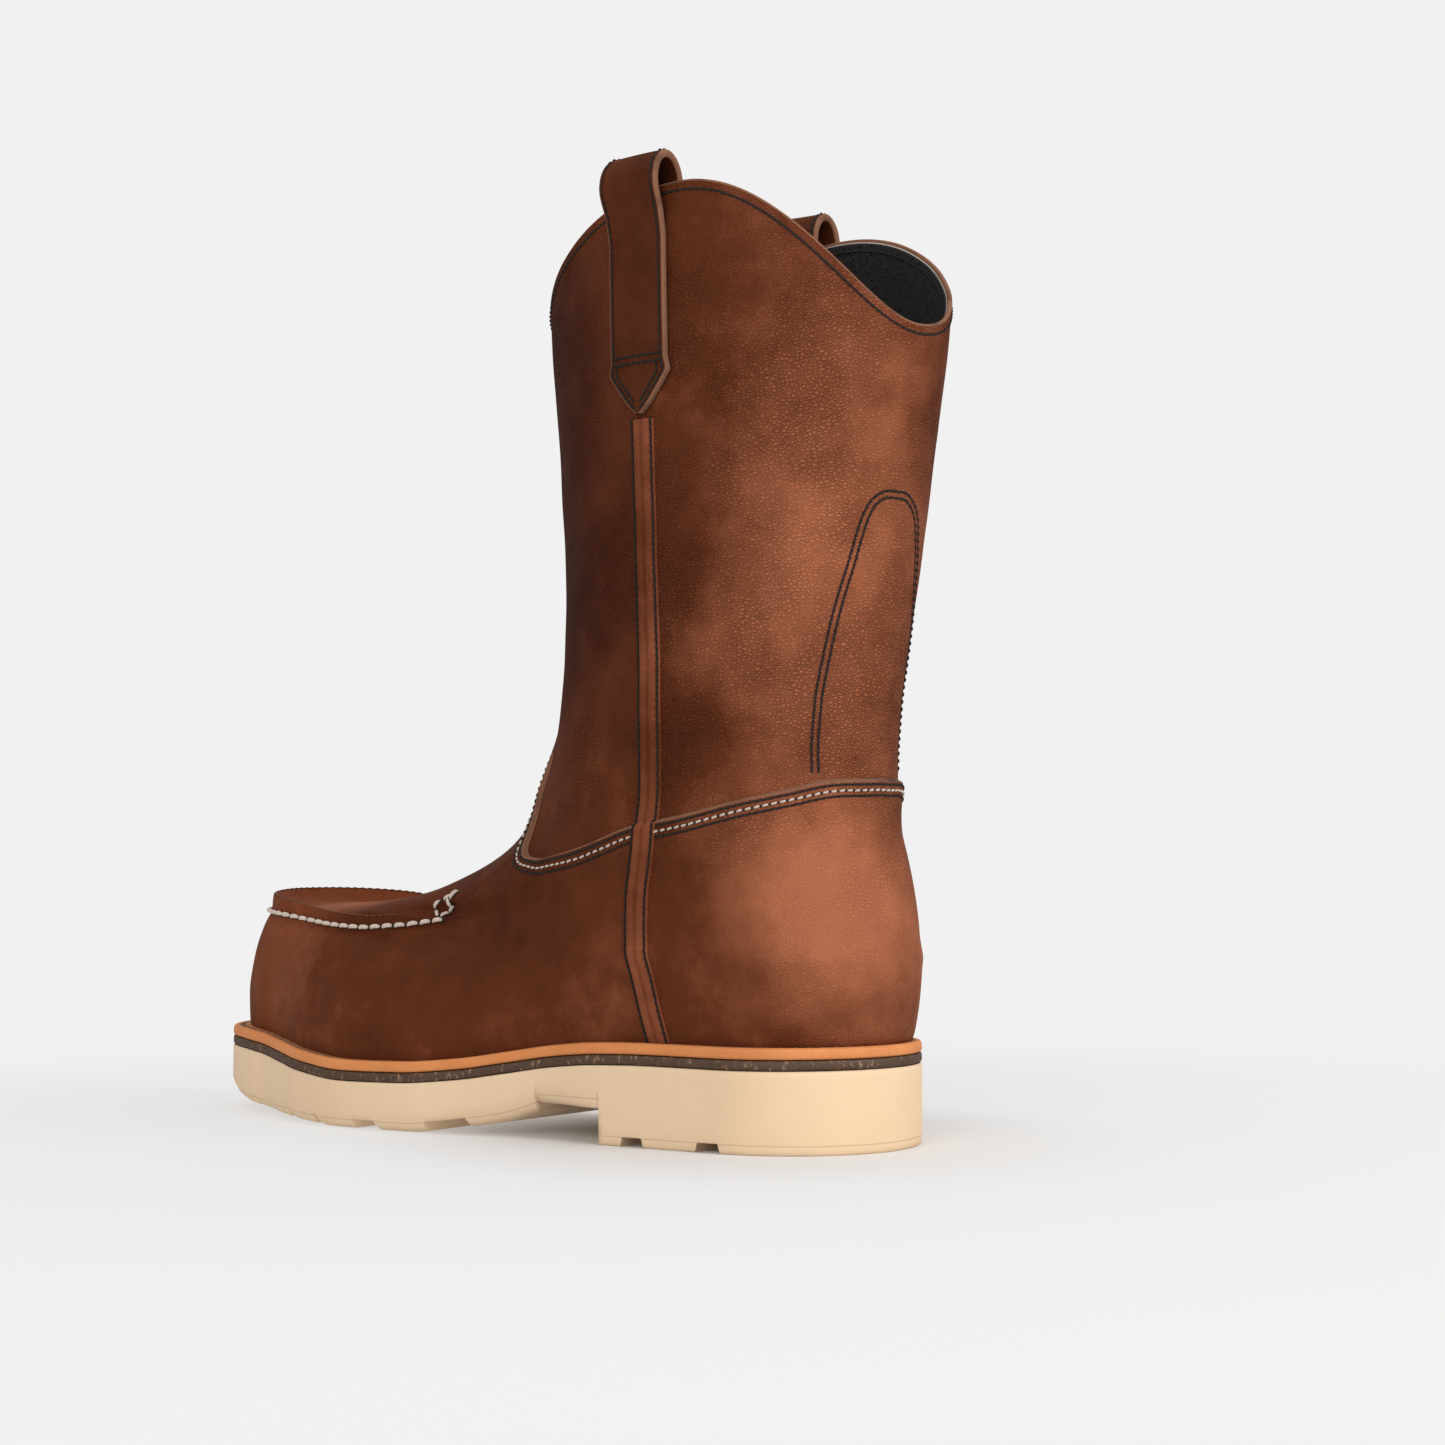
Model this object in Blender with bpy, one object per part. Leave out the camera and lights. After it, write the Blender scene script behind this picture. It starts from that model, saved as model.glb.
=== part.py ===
"""Pull-on moc-toe work boot, left foot, standing empty on its sole.

Metres, +Z up. The origin lies on the ground under the heel's front lug, the toe points to -Y and
the lateral side to +X. Distances along the foot run from the middle of the heel towards the toe,
and stations are shares of the sole's length, counted from the back of the heel.
"""
import math

import bmesh
import bpy
import numpy as np

# Sole
SOLE_LENGTH = 0.303
BALL_WIDTH = 0.107
HEEL_RADIUS = 0.044
ORIGIN_DISTANCE = 0.018     # from the middle of the heel to the origin
HEEL_HEIGHT = 0.0267        # top of the outsole above the ground, at the heel
ARCH_CLEARANCE = 0.012      # height of the underside between heel and tread
HEEL_BREAST = 0.047         # front face of the heel, from the middle of the heel
TOE_RADIUS = 0.040
TOE_SWING = 0.013           # how far the toe leans to the medial side
TREAD_TUCK = 0.0048         # how far the tread lies inside the widest line of the forefoot
HEEL_TUCK = 0.0006
SIDE_ROUND = 0.0068         # height of the rounding under the side of the forefoot
LUG_DEPTH = 0.0032
LUG_SLOPE = 0.0012          # run of the sloped end of a notch
MIDSOLE_THICKNESS = 0.0031
WELT_THICKNESS = 0.0037
WELT_BREADTH = 0.0150
INSOLE_THICKNESS = 0.0034
INSOLE_RIM_CLEARANCE = 0.0012

# Upper
ANKLE_HEIGHT = 0.145        # height where the level sections of the shaft begin
COLLAR_PEAK = 0.318
COLLAR_FRONT = 0.284
COLLAR_BACK = 0.2695
SHAFT_DEPTH = 0.129         # front to back at the ankle
SHAFT_WIDTH = 0.088         # side to side at the ankle
SHAFT_BACK = -0.0387        # back of the shaft at the ankle, from the middle of the heel
UPPER_WALL = 0.0024
LAP_STEP = 0.0017           # step where the vamp and counter lie over the shaft
LAP_BREADTH = 0.018         # height over which that step runs out again
FEATHER_INSET = 0.0050      # from the edge of the sole in to the upper
TONGUE_HEIGHT = 0.149       # top of the vamp's point at the front of the shaft
COUNTER_HEIGHT = 0.121      # top of the counter at the back
LAP_LOW = 0.0946            # lowest point of the top edge of the vamp, at its corner
TUCK_START = 0.38           # stations between which the crest narrows over the toes
TUCK_FULL = 0.64

# Trim
MOC_SEAM_WIDTH = 0.0026
STRIP_WIDTH = 0.0086
STRIP_THICKNESS = 0.0013
STRAP_WIDTH = 0.0235
STRAP_THICKNESS = 0.0027
STRAP_TIP_HEIGHT = 0.242
STRAP_SHOULDER_HEIGHT = 0.256
STRAP_INNER_HEIGHT = 0.272
STRAP_RISE = 0.0085         # clear height of the loop above the collar
STRAP_STATION = 0.234       # middle of the straps along the foot
STRAP_LEAVE = 0.020         # below the collar's peak, where a strap leaves the shaft's face
STRAP_SPREAD = 0.0045       # how far a strap stands off at the collar's peak
STRAP_SPREAD_HALFWAY = 0.35  # share of that spread reached halfway up from where it leaves
STRIP_LEDGE = 0.0007        # the strip's own step lies this far above the lap's edge
STRIP_END_CLEARANCE = 0.0010
STRIP_FOOT_STEPS = 101       # levels tried for the strip's lower end
MOC_SEAM_END = 75.0         # angle where the upright seam ends on each side
MOC_SEAM_LEAN = 0.25        # share of its width by which the rim's outer wall leans in
MOC_SEAM_STEPS = 41

GAP = 0.0003                # between pieces that touch
SKIN_CLEARANCE = 0.0002     # more, where a piece meets a faceted curve
SEAM_CLEARANCE = 0.0005     # more, over the tight bend of the crest
SHARP_ANGLE = 35.0

# Angles round the leg, in degrees: 0 is the front, 90 the lateral side
COLLAR_PEAK_ANGLE = 96.0
COLLAR_BACK_ANGLE = 170.0
SIDE_SEAM_ANGLE = 90.0
STRAP_ANGLE = 93.0

COLUMNS = 48                # mesh columns round the upper
ROWS_BELOW_LAP = 17
ROWS_ABOVE_LAP = 9
SOLE_STATIONS = 34
STATION_SPACE = 0.0012      # plain stations keep this far from the ends of steps
STRAP_ROWS = 7

# Edge of the sole: station, lateral and medial edge as shares of the ball width
OUTLINE = (
    (0.000, 0.411, -0.411),
    (0.145, 0.414, -0.411),
    (0.300, 0.420, -0.393),
    (0.383, 0.402, -0.340),
    (0.475, 0.439, -0.374),
    (0.574, 0.491, -0.445),
    (0.657, 0.500, -0.500),
    (0.749, 0.437, -0.514),
    (0.805, 0.364, -0.508),
    (0.868, 0.285, -0.495),
    (0.937, 0.252, -0.495),
    (1.000, 0.252, -0.495),
)

# Crest of the foot, where the side turns over: station, lateral and medial as shares of the ball width
CREST = (
    (0.000, 0.397, -0.397),
    (0.145, 0.402, -0.402),
    (0.340, 0.400, -0.393),
    (0.410, 0.362, -0.362),
    (0.525, 0.310, -0.345),
    (0.578, 0.290, -0.350),
    (0.637, 0.299, -0.374),
    (0.683, 0.302, -0.393),
    (0.733, 0.287, -0.411),
    (0.792, 0.247, -0.421),
    (0.832, 0.234, -0.421),
    (1.000, 0.234, -0.421),
)

# Top of the outsole: station, height as a share of the heel height
TOP_LINE = (
    (0.000, 1.011),
    (0.145, 1.000),
    (0.234, 1.004),
    (0.304, 0.985),
    (0.373, 0.918),
    (0.436, 0.809),
    (0.498, 0.704),
    (0.574, 0.637),
    (0.653, 0.625),
    (0.739, 0.685),
    (0.821, 0.790),
    (0.900, 0.880),
    (1.000, 0.918),
)

# Underside of the tread: station, height as a share of the arch clearance
TREAD_LINE = (
    (0.396, 0.770),
    (0.442, 0.420),
    (0.488, 0.225),
    (0.528, 0.090),
    (0.565, 0.000),
    (0.690, 0.000),
    (0.746, 0.035),
    (0.822, 0.095),
    (0.878, 0.200),
    (0.930, 0.300),
    (0.964, 0.460),
    (1.000, 0.830),
)

# Rounding under the sole's side: share of SIDE_ROUND above the tread, share of the tuck
SIDE_ROUNDING = (
    (0.5, 0.3),
    (1.0, 0.0),
)

# Notches between the lugs: first and last station
NOTCHES = (
    (0.140, 0.173),
    (0.240, 0.272),
    (0.485, 0.545),
    (0.610, 0.651),
    (0.707, 0.729),
    (0.774, 0.799),
    (0.878, 0.894),
)

# Sections of the foot from the welt up, each a closed ring in a tilting plane. back and front are
# stations, their heights shares of ANKLE_HEIGHT, dip how far the ring follows the seat's sag, form
# its outline from sole (0) over crest (1) to shaft (2), inset its share of FEATHER_INSET, tuck its
# narrowing over the toes as a share of the ball width, seat and nose the lengths of its round ends
# and swing the lean of its front end as a share of TOE_SWING.
FOOT_RINGS = (
    # back, height, front, height, dip, form, inset, tuck, seat, nose, swing
    (0.0116, 0.240, 0.9769, 0.218, 1.00, 0.00, 1.00, 0.000, 0.134, 0.119, 1.00),
    (0.0017, 0.303, 0.9779, 0.303, 0.95, 0.02, 0.80, 0.000, 0.137, 0.119, 1.00),
    (-0.0033, 0.393, 0.9680, 0.393, 0.75, 0.26, 0.70, 0.000, 0.142, 0.119, 0.96),
    (-0.0033, 0.418, 0.9500, 0.469, 0.55, 0.62, 0.40, 0.000, 0.142, 0.117, 0.88),
    (-0.0026, 0.434, 0.9310, 0.521, 0.40, 1.00, 0.00, 0.000, 0.142, 0.116, 0.77),
    (-0.0010, 0.452, 0.9150, 0.538, 0.30, 1.00, 0.00, 0.020, 0.142, 0.125, 0.77),
    (0.0007, 0.476, 0.8700, 0.546, 0.20, 1.00, 0.00, 0.038, 0.142, 0.158, 0.69),
    (0.0013, 0.500, 0.8050, 0.549, 0.15, 1.00, 0.00, 0.056, 0.142, 0.185, 0.62),
    (0.0026, 0.528, 0.7390, 0.556, 0.10, 1.00, 0.00, 0.038, 0.142, 0.198, 0.54),
    (0.0046, 0.562, 0.6670, 0.577, 0.05, 1.00, 0.00, 0.010, 0.144, 0.205, 0.50),
    (0.0079, 0.603, 0.6010, 0.621, 0.00, 1.00, 0.00, 0.000, 0.149, 0.218, 0.46),
    (0.0132, 0.658, 0.5380, 0.686, 0.00, 1.00, 0.00, 0.000, 0.158, 0.224, 0.38),
    (0.0195, 0.721, 0.5020, 0.755, 0.00, 1.06, 0.00, 0.000, 0.172, 0.218, 0.31),
    (0.0231, 0.793, 0.4790, 0.826, 0.00, 1.25, 0.00, 0.000, 0.188, 0.215, 0.20),
    (0.0224, 0.869, 0.4590, 0.903, 0.00, 1.65, 0.00, 0.000, 0.205, 0.215, 0.10),
)

# Level sections of the shaft: height as a share from ankle to collar peak, back and front as shares
# of SHAFT_DEPTH counted from SHAFT_BACK, width as a share of SHAFT_WIDTH
SHAFT_RINGS = (
    (0.000, 0.000, 1.000, 1.000),
    (0.092, -0.019, 0.989, 1.000),
    (0.295, -0.060, 0.981, 1.045),
    (0.532, -0.109, 1.001, 1.091),
    (0.659, -0.136, 1.019, 1.114),
    (0.815, -0.158, 1.033, 1.136),
    (1.030, -0.174, 1.050, 1.150),
)

# Top edge of the vamp and counter: angle round the leg, height as a share from the lowest point
# of the line (0) to the counter's top (1)
LAP_LINE = (
    (66.0, 0.00),
    (74.0, 0.10),
    (82.0, 0.26),
    (89.0, 0.39),
    (97.0, 0.47),
    (112.0, 0.61),
    (137.0, 0.85),
    (160.0, 0.985),
    (180.0, 1.00),
)
# The point of the vamp on the front of the shaft: angle and share of its rise above LAP_LOW
TONGUE_LINE = (
    (0.0, 1.00),
    (10.5, 0.945),
    (18.6, 0.724),
    (25.2, 0.577),
    (32.3, 0.412),
    (40.0, 0.265),
    (50.0, 0.081),
    (58.0, 0.017),
    (64.0, 0.00),
)

# Extra mesh columns at the corner between the two lines, as angles
LAP_CORNERS = (61.0, 65.0, 70.0)

# Foot of the upright toe seam: angle and level on the upper
MOC_LINE = (
    (0.0, 4.00),
    (33.0, 3.95),
    (50.0, 3.85),
    (60.0, 3.95),
    (68.0, 4.55),
    (76.0, 6.00),
)

# Height of the upright toe seam: angle round the toe, negative on the inner side, and height
MOC_SEAM_HEIGHTS = (
    (-75.0, 0.0048),
    (-62.0, 0.0080),
    (-35.0, 0.0092),
    (0.0, 0.0088),
    (20.0, 0.0075),
    (45.0, 0.0058),
    (75.0, 0.0046),
)

# Middle of the side strips: height as a share of the collar's peak, station along the foot
SIDE_LINE = (
    (0.110, 0.231),
    (0.155, 0.244),
    (0.205, 0.255),
    (0.255, 0.254),
    (0.327, 0.241),
    (0.380, 0.235),
    (0.760, 0.234),
)

# Pointed lower end of a pull strap: height as a share from tip to shoulder, share of STRAP_WIDTH
STRAP_POINT = (
    (0.0, 0.12),
    (0.5, 0.66),
    (1.0, 1.08),
)

# Colour, roughness and metallic value of each material
FINISHES = {
    "foam_rubber": ((0.62, 0.47, 0.29), 0.75, 0.0),
    "dark_rubber": ((0.045, 0.030, 0.020), 0.70, 0.0),
    "welt_leather": ((0.48, 0.19, 0.075), 0.60, 0.0),
    "insole_board": ((0.30, 0.20, 0.12), 0.85, 0.0),
    "oiled_leather": ((0.19, 0.070, 0.028), 0.50, 0.0),
    "trim_leather": ((0.22, 0.085, 0.035), 0.50, 0.0),
}


def smooth_curve(rows, column, at):
    """Read a table's column at the given places, through a smooth curve without overshoot."""
    x = np.array([row[0] for row in rows])
    y = np.array([row[column] for row in rows])
    at = np.clip(np.asarray(at, float), x[0], x[-1])
    run = np.diff(x)
    slope = np.diff(y) / run
    tangent = np.zeros_like(y)
    same = slope[:-1] * slope[1:] > 0
    before, after = slope[:-1][same], slope[1:][same]
    tangent[1:-1][same] = 2 * before * after / (before + after)
    tangent[0], tangent[-1] = slope[0], slope[-1]
    i = np.clip(np.searchsorted(x, at, side="right") - 1, 0, len(run) - 1)
    t = (at - x[i]) / run[i]
    h = run[i]
    return ((1 + 2 * t) * (1 - t) ** 2 * y[i] + t * (1 - t) ** 2 * h * tangent[i]
            + t * t * (3 - 2 * t) * y[i + 1] + t * t * (t - 1) * h * tangent[i + 1])


def smooth_step(low, high, at):
    t = np.clip((at - low) / (high - low), 0, 1)
    return t * t * (3 - 2 * t)


def along(station):
    """Distance from the middle of the heel towards the toe."""
    return station * SOLE_LENGTH - HEEL_RADIUS


def station_at(distance):
    return (distance + HEEL_RADIUS) / SOLE_LENGTH


def y_at(distance):
    return ORIGIN_DISTANCE - distance


def distance_at(y):
    return ORIGIN_DISTANCE - y


def round_end(run, length):
    """Width share at a run from the end of a round cap of that length."""
    t = np.clip(run / length, 0, 1)
    return np.sqrt(1 - (1 - t) ** 2)


# Sole

def outsole_top(distance):
    return smooth_curve(TOP_LINE, 1, station_at(distance)) * HEEL_HEIGHT


def midsole_bottom(distance):
    return outsole_top(distance) + GAP


def midsole_top(distance):
    return midsole_bottom(distance) + MIDSOLE_THICKNESS


def welt_bottom(distance):
    return midsole_top(distance) + GAP


def welt_top(distance):
    return welt_bottom(distance) + WELT_THICKNESS


def tread(distance):
    """Height of the tread and heel without notches."""
    line = smooth_curve(TREAD_LINE, 1, station_at(distance)) * ARCH_CLEARANCE
    start = along(TREAD_LINE[0][0])
    return np.where(distance < HEEL_BREAST, 0.0, np.where(distance < start, ARCH_CLEARANCE, line))


def underside(distance):
    height = tread(distance)
    for first, last in NOTCHES:
        low, high = along(first), along(last)
        mouth = np.minimum(distance - low, high - distance) / LUG_SLOPE
        height = height + LUG_DEPTH * np.clip(mouth, 0, 1)
    return height


def sole_edges(distance, inset):
    """Lateral and medial edge of the sole's outline, moved in by inset."""
    station = station_at(distance)
    lateral = smooth_curve(OUTLINE, 1, station) * BALL_WIDTH - inset
    medial = smooth_curve(OUTLINE, 2, station) * BALL_WIDTH + inset
    back = round_end(distance + HEEL_RADIUS - inset, HEEL_RADIUS - inset)
    front = round_end(SOLE_LENGTH - HEEL_RADIUS - inset - distance, TOE_RADIUS - inset)
    middle = -TOE_SWING * smooth_step(0, SOLE_LENGTH - HEEL_RADIUS - TOE_RADIUS, distance)
    cap = back * front
    return middle + (lateral - middle) * cap, middle + (medial - middle) * cap


def sole_stations(with_steps):
    """Stations along the sole, close together at its round ends and on both sides of each step."""
    angle = np.linspace(0, math.pi, SOLE_STATIONS + 1)
    places = [(float(place), False) for place in along((1 - np.cos(angle)) / 2)]
    if with_steps:
        hair = GAP / 10
        for edge in (HEEL_BREAST, along(TREAD_LINE[0][0])):
            places += [(edge - hair, True), (edge + hair, True)]
        places += [(along(station), True) for station, height in TREAD_LINE if height == 0.0]
        for first, last in NOTCHES:
            low, high = along(first), along(last)
            places += [(low, True), (low + LUG_SLOPE, True), (high - LUG_SLOPE, True), (high, True)]
    places.sort()
    kept = [place for i, (place, step) in enumerate(places)
            if step or not any(other and abs(spot - place) < STATION_SPACE for spot, other in places)]
    return np.array(kept)


def moved_in(distance, inset):
    """Station on an outline that is inset all round, for a station on the full outline."""
    middle = SOLE_LENGTH / 2 - HEEL_RADIUS
    return middle + (distance - middle) * (1 - 2 * inset / SOLE_LENGTH)


def sole_loop(inset, height, with_steps=False):
    """Closed loop of points round the sole, from the heel over the lateral side to the toe and back."""
    places = sole_stations(with_steps)
    insets = inset(places) if callable(inset) else np.full(places.shape, inset)
    moved = moved_in(places, insets)
    lateral, medial = sole_edges(moved, insets)
    z = height(places)
    out = list(zip(lateral, y_at(moved), z))
    inner = list(zip(medial, y_at(moved), z))
    return out + inner[-2:0:-1]


# Upper

def ring_measures():
    """The measures of every ring in metres, foot and shaft in one table with the level first."""
    rows = []
    for i, row in enumerate(FOOT_RINGS):
        back, back_z, front, front_z, dip, form, inset, tuck, seat, nose, swing = row
        rows.append((i, along(back), back_z * ANKLE_HEIGHT, along(front), front_z * ANKLE_HEIGHT, dip,
                     form, inset * FEATHER_INSET, tuck * BALL_WIDTH, seat * SOLE_LENGTH,
                     nose * SOLE_LENGTH, swing * TOE_SWING, SHAFT_WIDTH / 2))
    for i, row in enumerate(SHAFT_RINGS):
        share, back, front, width = row
        z = ANKLE_HEIGHT + share * (COLLAR_PEAK - ANKLE_HEIGHT)
        low = SHAFT_BACK + back * SHAFT_DEPTH
        high = SHAFT_BACK + front * SHAFT_DEPTH
        half = (high - low) / 2
        rows.append((len(FOOT_RINGS) + i, low, z, high, z, 0.0, 2.0, 0.0, 0.0, half, half, 0.0,
                     width * SHAFT_WIDTH / 2))
    return rows


RINGS = ring_measures()
TOP_LEVEL = len(RINGS) - 1


def shell(angle, level):
    """Point of the upper's outer face. angle runs round the leg from the front over the lateral
    side, in radians, and level runs up from the welt."""
    angle, level = np.broadcast_arrays(np.asarray(angle, float), np.asarray(level, float))
    (back, back_z, front, front_z, dip, form, inset, tuck, seat, nose, swing, half_width) = [
        smooth_curve(RINGS, column, level) for column in range(1, 13)]
    turn = np.cos(angle)
    share = (1 + turn) / 2
    distance = back + (front - back) * share
    lateral_side = np.sin(angle) >= 0

    first = along(FOOT_RINGS[0][0])
    last = along(FOOT_RINGS[0][2])
    seat_place = first + (last - first) * share
    sag = welt_top(seat_place) - welt_top(first) - (welt_top(last) - welt_top(first)) * share
    z = back_z + (front_z - back_z) * share + dip * sag
    base = welt_top(seat_place) + GAP
    z = base + (z - base) * smooth_step(0.0, 1.0, level)

    station = station_at(distance)
    sole_out = smooth_curve(OUTLINE, 1, station) * BALL_WIDTH - inset
    sole_in = -smooth_curve(OUTLINE, 2, station) * BALL_WIDTH - inset
    over_toes = smooth_step(TUCK_START, TUCK_FULL, station)
    crest_out = smooth_curve(CREST, 1, station) * BALL_WIDTH - tuck * over_toes
    crest_in = -smooth_curve(CREST, 2, station) * BALL_WIDTH - tuck * over_toes
    sole_half = np.where(lateral_side, sole_out, sole_in)
    crest_half = np.where(lateral_side, crest_out, crest_in)
    low_form = np.clip(form, 0, 1)
    high_form = np.clip(form - 1, 0, 1)
    half = sole_half + (crest_half - sole_half) * low_form
    half = half + (half_width - half) * high_form
    middle = -swing * smooth_step(0.0, 1.0, share)
    edge = np.where(lateral_side, half, -half)
    cap = round_end(distance - back, seat) * round_end(front - distance, nose)
    x = middle + (edge - middle) * cap
    return np.stack([x, y_at(distance), z], axis=-1)


def outward(angle, level):
    """Unit normal of the upper's outer face."""
    step = 1e-3
    low = np.clip(np.asarray(level, float) - step, 0, TOP_LEVEL)
    high = np.clip(np.asarray(level, float) + step, 0, TOP_LEVEL)
    round_leg = shell(angle + step, level) - shell(angle - step, level)
    up_leg = shell(angle, high) - shell(angle, low)
    normal = np.cross(round_leg, up_leg)
    return normal / np.linalg.norm(normal, axis=-1, keepdims=True)


def level_at(angle, height):
    """Level where the upper reaches a height, found from above."""
    levels = np.linspace(0, TOP_LEVEL, 12 * TOP_LEVEL + 1)
    z = shell(angle, levels)[..., 2]
    z = np.maximum.accumulate(z)
    return float(np.interp(height, z, levels))


def lap_height(angle):
    """Height of the top edge of the vamp and counter, round the leg."""
    turn = np.abs((np.degrees(angle) + 180) % 360 - 180)
    side = LAP_LOW + smooth_curve(LAP_LINE, 1, turn) * (COUNTER_HEIGHT - LAP_LOW)
    tongue = LAP_LOW + smooth_curve(TONGUE_LINE, 1, turn) * (TONGUE_HEIGHT - LAP_LOW)
    return float(np.where(turn < LAP_LINE[0][0], tongue, side))


def collar_height(angle):
    """Height of the scalloped collar, round the leg."""
    turn = math.degrees(angle) % 360
    peaks = ((0.0, COLLAR_FRONT), (COLLAR_PEAK_ANGLE, COLLAR_PEAK), (COLLAR_BACK_ANGLE, COLLAR_BACK),
             (360 - COLLAR_PEAK_ANGLE, COLLAR_PEAK), (360.0, COLLAR_FRONT))
    for (first, low), (last, high) in zip(peaks, peaks[1:]):
        if turn <= last:
            share = (1 - math.cos(math.pi * (turn - first) / (last - first))) / 2
            return low + (high - low) * share
    return COLLAR_FRONT


def lap_thickness(angle, height, drop=0.0):
    """How far the vamp and counter stand out from the shaft's face at a height."""
    below = lap_height(angle) - height - drop
    if below < 0:
        return 0.0
    return LAP_STEP * (1 - float(smooth_step(0.0, LAP_BREADTH, below)))


def column_levels(angle, drop=0.0):
    """Levels of the mesh rows at one angle, with a row on both sides of the lap's edge."""
    edge = lap_height(angle)
    lap_low = level_at(angle, edge - GAP - drop)
    lap_high = level_at(angle, edge + GAP - drop)
    collar = level_at(angle, collar_height(angle))
    below = np.linspace(0, lap_low, ROWS_BELOW_LAP)
    above = np.linspace(lap_high, collar, ROWS_ABOVE_LAP)
    return np.concatenate([below, above])


def face_point(angle, level, lift=0.0, drop=0.0):
    """Point over the upper's outer face, lap included."""
    point = shell(angle, level)
    return point + outward(angle, level) * (lift + lap_thickness(angle, point[2], drop))


def angle_at(level, distance, side):
    """Angle where a level's ring reaches a distance from the heel, on one side of the foot."""
    back = float(smooth_curve(RINGS, 1, level))
    front = float(smooth_curve(RINGS, 3, level))
    turn = math.acos(max(-1.0, min(1.0, (2 * distance - back - front) / (front - back))))
    return side * turn


# Meshes

def finish_object(name, mesh, finish):
    """Link a mesh as a named object with its own material."""
    colour, roughness, metallic = FINISHES[finish]
    material = bpy.data.materials.new(name + "_" + finish)
    material.use_nodes = True
    shader = material.node_tree.nodes["Principled BSDF"]
    shader.inputs["Base Color"].default_value = (*colour, 1.0)
    shader.inputs["Roughness"].default_value = roughness
    shader.inputs["Metallic"].default_value = metallic
    mesh.materials.append(material)
    mesh.shade_smooth()
    mesh.set_sharp_from_angle(angle=math.radians(SHARP_ANGLE))
    part = bpy.data.objects.new(name, mesh)
    BOOT.objects.link(part)
    return part


def skin(rows, close_across):
    """Index quads between neighbouring rows of one grid."""
    faces = []
    for low, high in zip(rows, rows[1:]):
        count = len(low)
        for i in range(count if close_across else count - 1):
            j = (i + 1) % count
            faces.append((low[i], low[j], high[j], high[i]))
    return faces


def solid(name, points, faces, finish):
    """Make one closed body of points and faces, with its faces pointing out."""
    mesh = bpy.data.meshes.new(name)
    work = bmesh.new()
    corners = [work.verts.new(tuple(float(value) for value in point)) for point in points]
    for face in faces:
        work.faces.new([corners[i] for i in face])
    bmesh.ops.recalc_face_normals(work, faces=work.faces)
    work.to_mesh(mesh)
    work.free()
    return finish_object(name, mesh, finish)


def numbered(grids):
    """Join grids of points into one list and give each grid's indices."""
    points, indices = [], []
    for grid in grids:
        own = []
        for row in grid:
            own.append(list(range(len(points), len(points) + len(row))))
            points.extend(row)
        indices.append(own)
    return points, indices


def cap(loop):
    """Close a loop round the sole with quads from side to side."""
    half = len(loop) // 2
    faces = [(loop[0], loop[1], loop[-1])]
    for i in range(1, half - 1):
        faces.append((loop[i], loop[i + 1], loop[-i - 1], loop[-i]))
    faces.append((loop[half - 1], loop[half], loop[half + 1]))
    return faces


def plate(name, loops, finish):
    """Solid of loops round the sole, stacked from its underside to its top."""
    points, (rows,) = numbered([loops])
    faces = skin(rows, True) + cap(rows[0]) + cap(rows[-1])
    return solid(name, points, faces, finish)


def hoop(name, sections, finish):
    """Ring-shaped solid: each section is a loop, and the last joins the first."""
    points, (rows,) = numbered([sections])
    return solid(name, points, skin(rows + rows[:1], True), finish)


def slab(name, outer, inner, finish):
    """Solid between two grids of points with as many rows and columns."""
    points, (front, back) = numbered([outer, inner])
    faces = skin(front, False) + skin(back, False)
    for one, other in ((front, back), (list(zip(*front)), list(zip(*back)))):
        faces += skin([one[0], other[0]], False) + skin([one[-1], other[-1]], False)
    return solid(name, points, faces, finish)


# Pieces

def forefoot_share(distance):
    return smooth_step(HEEL_BREAST, along(TREAD_LINE[0][0]), distance)


def build_outsole():
    def tucked(share):
        return lambda distance: share * (HEEL_TUCK + (TREAD_TUCK - HEEL_TUCK) * forefoot_share(distance))

    def side_height(share):
        return lambda distance: tread(distance) + share * SIDE_ROUND

    loops = [sole_loop(tucked(1.0), underside, True)]
    loops += [sole_loop(tucked(tuck), side_height(rise), True) for rise, tuck in SIDE_ROUNDING]
    loops.append(sole_loop(0.0, outsole_top, True))
    return plate("outsole", loops, "foam_rubber")


def build_midsole():
    loops = [sole_loop(0.0, midsole_bottom), sole_loop(0.0, midsole_top)]
    return plate("midsole", loops, "dark_rubber")


def build_welt():
    sections = [
        sole_loop(0.0, welt_bottom),
        sole_loop(0.0, welt_top),
        sole_loop(WELT_BREADTH, welt_top),
        sole_loop(WELT_BREADTH, welt_bottom),
    ]
    return hoop("welt", sections, "welt_leather")


def build_insole():
    def board_bottom(distance):
        return welt_top(distance) + GAP

    def board_top(distance):
        return board_bottom(distance) + INSOLE_THICKNESS

    core = WELT_BREADTH + GAP
    rim = FEATHER_INSET + UPPER_WALL + INSOLE_RIM_CLEARANCE
    loops = [
        sole_loop(core, welt_bottom),
        sole_loop(core, board_bottom),
        sole_loop(rim, board_bottom),
        sole_loop(rim, board_top),
    ]
    return plate("insole", loops, "insole_board")


def build_upper():
    angles = list(np.linspace(0, 2 * math.pi, COLUMNS, endpoint=False))
    for corner in LAP_CORNERS:
        angles += [math.radians(corner), math.radians(360 - corner)]
    angles.sort()
    outer_columns, inner_columns = [], []
    for angle in angles:
        levels = column_levels(angle)
        outer_columns.append([face_point(angle, level) for level in levels])
        inner = [shell(angle, level) - outward(angle, level) * UPPER_WALL for level in levels]
        for foot in (outer_columns[-1][0], inner[0]):
            foot[2] = float(welt_top(distance_at(foot[1]))) + GAP + SKIN_CLEARANCE
        inner_columns.append(inner)
    outer = [list(row) for row in zip(*outer_columns)]
    inner = [list(row) for row in zip(*inner_columns)]
    sections = outer + inner[::-1]
    return hoop("upper", sections, "oiled_leather")


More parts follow.
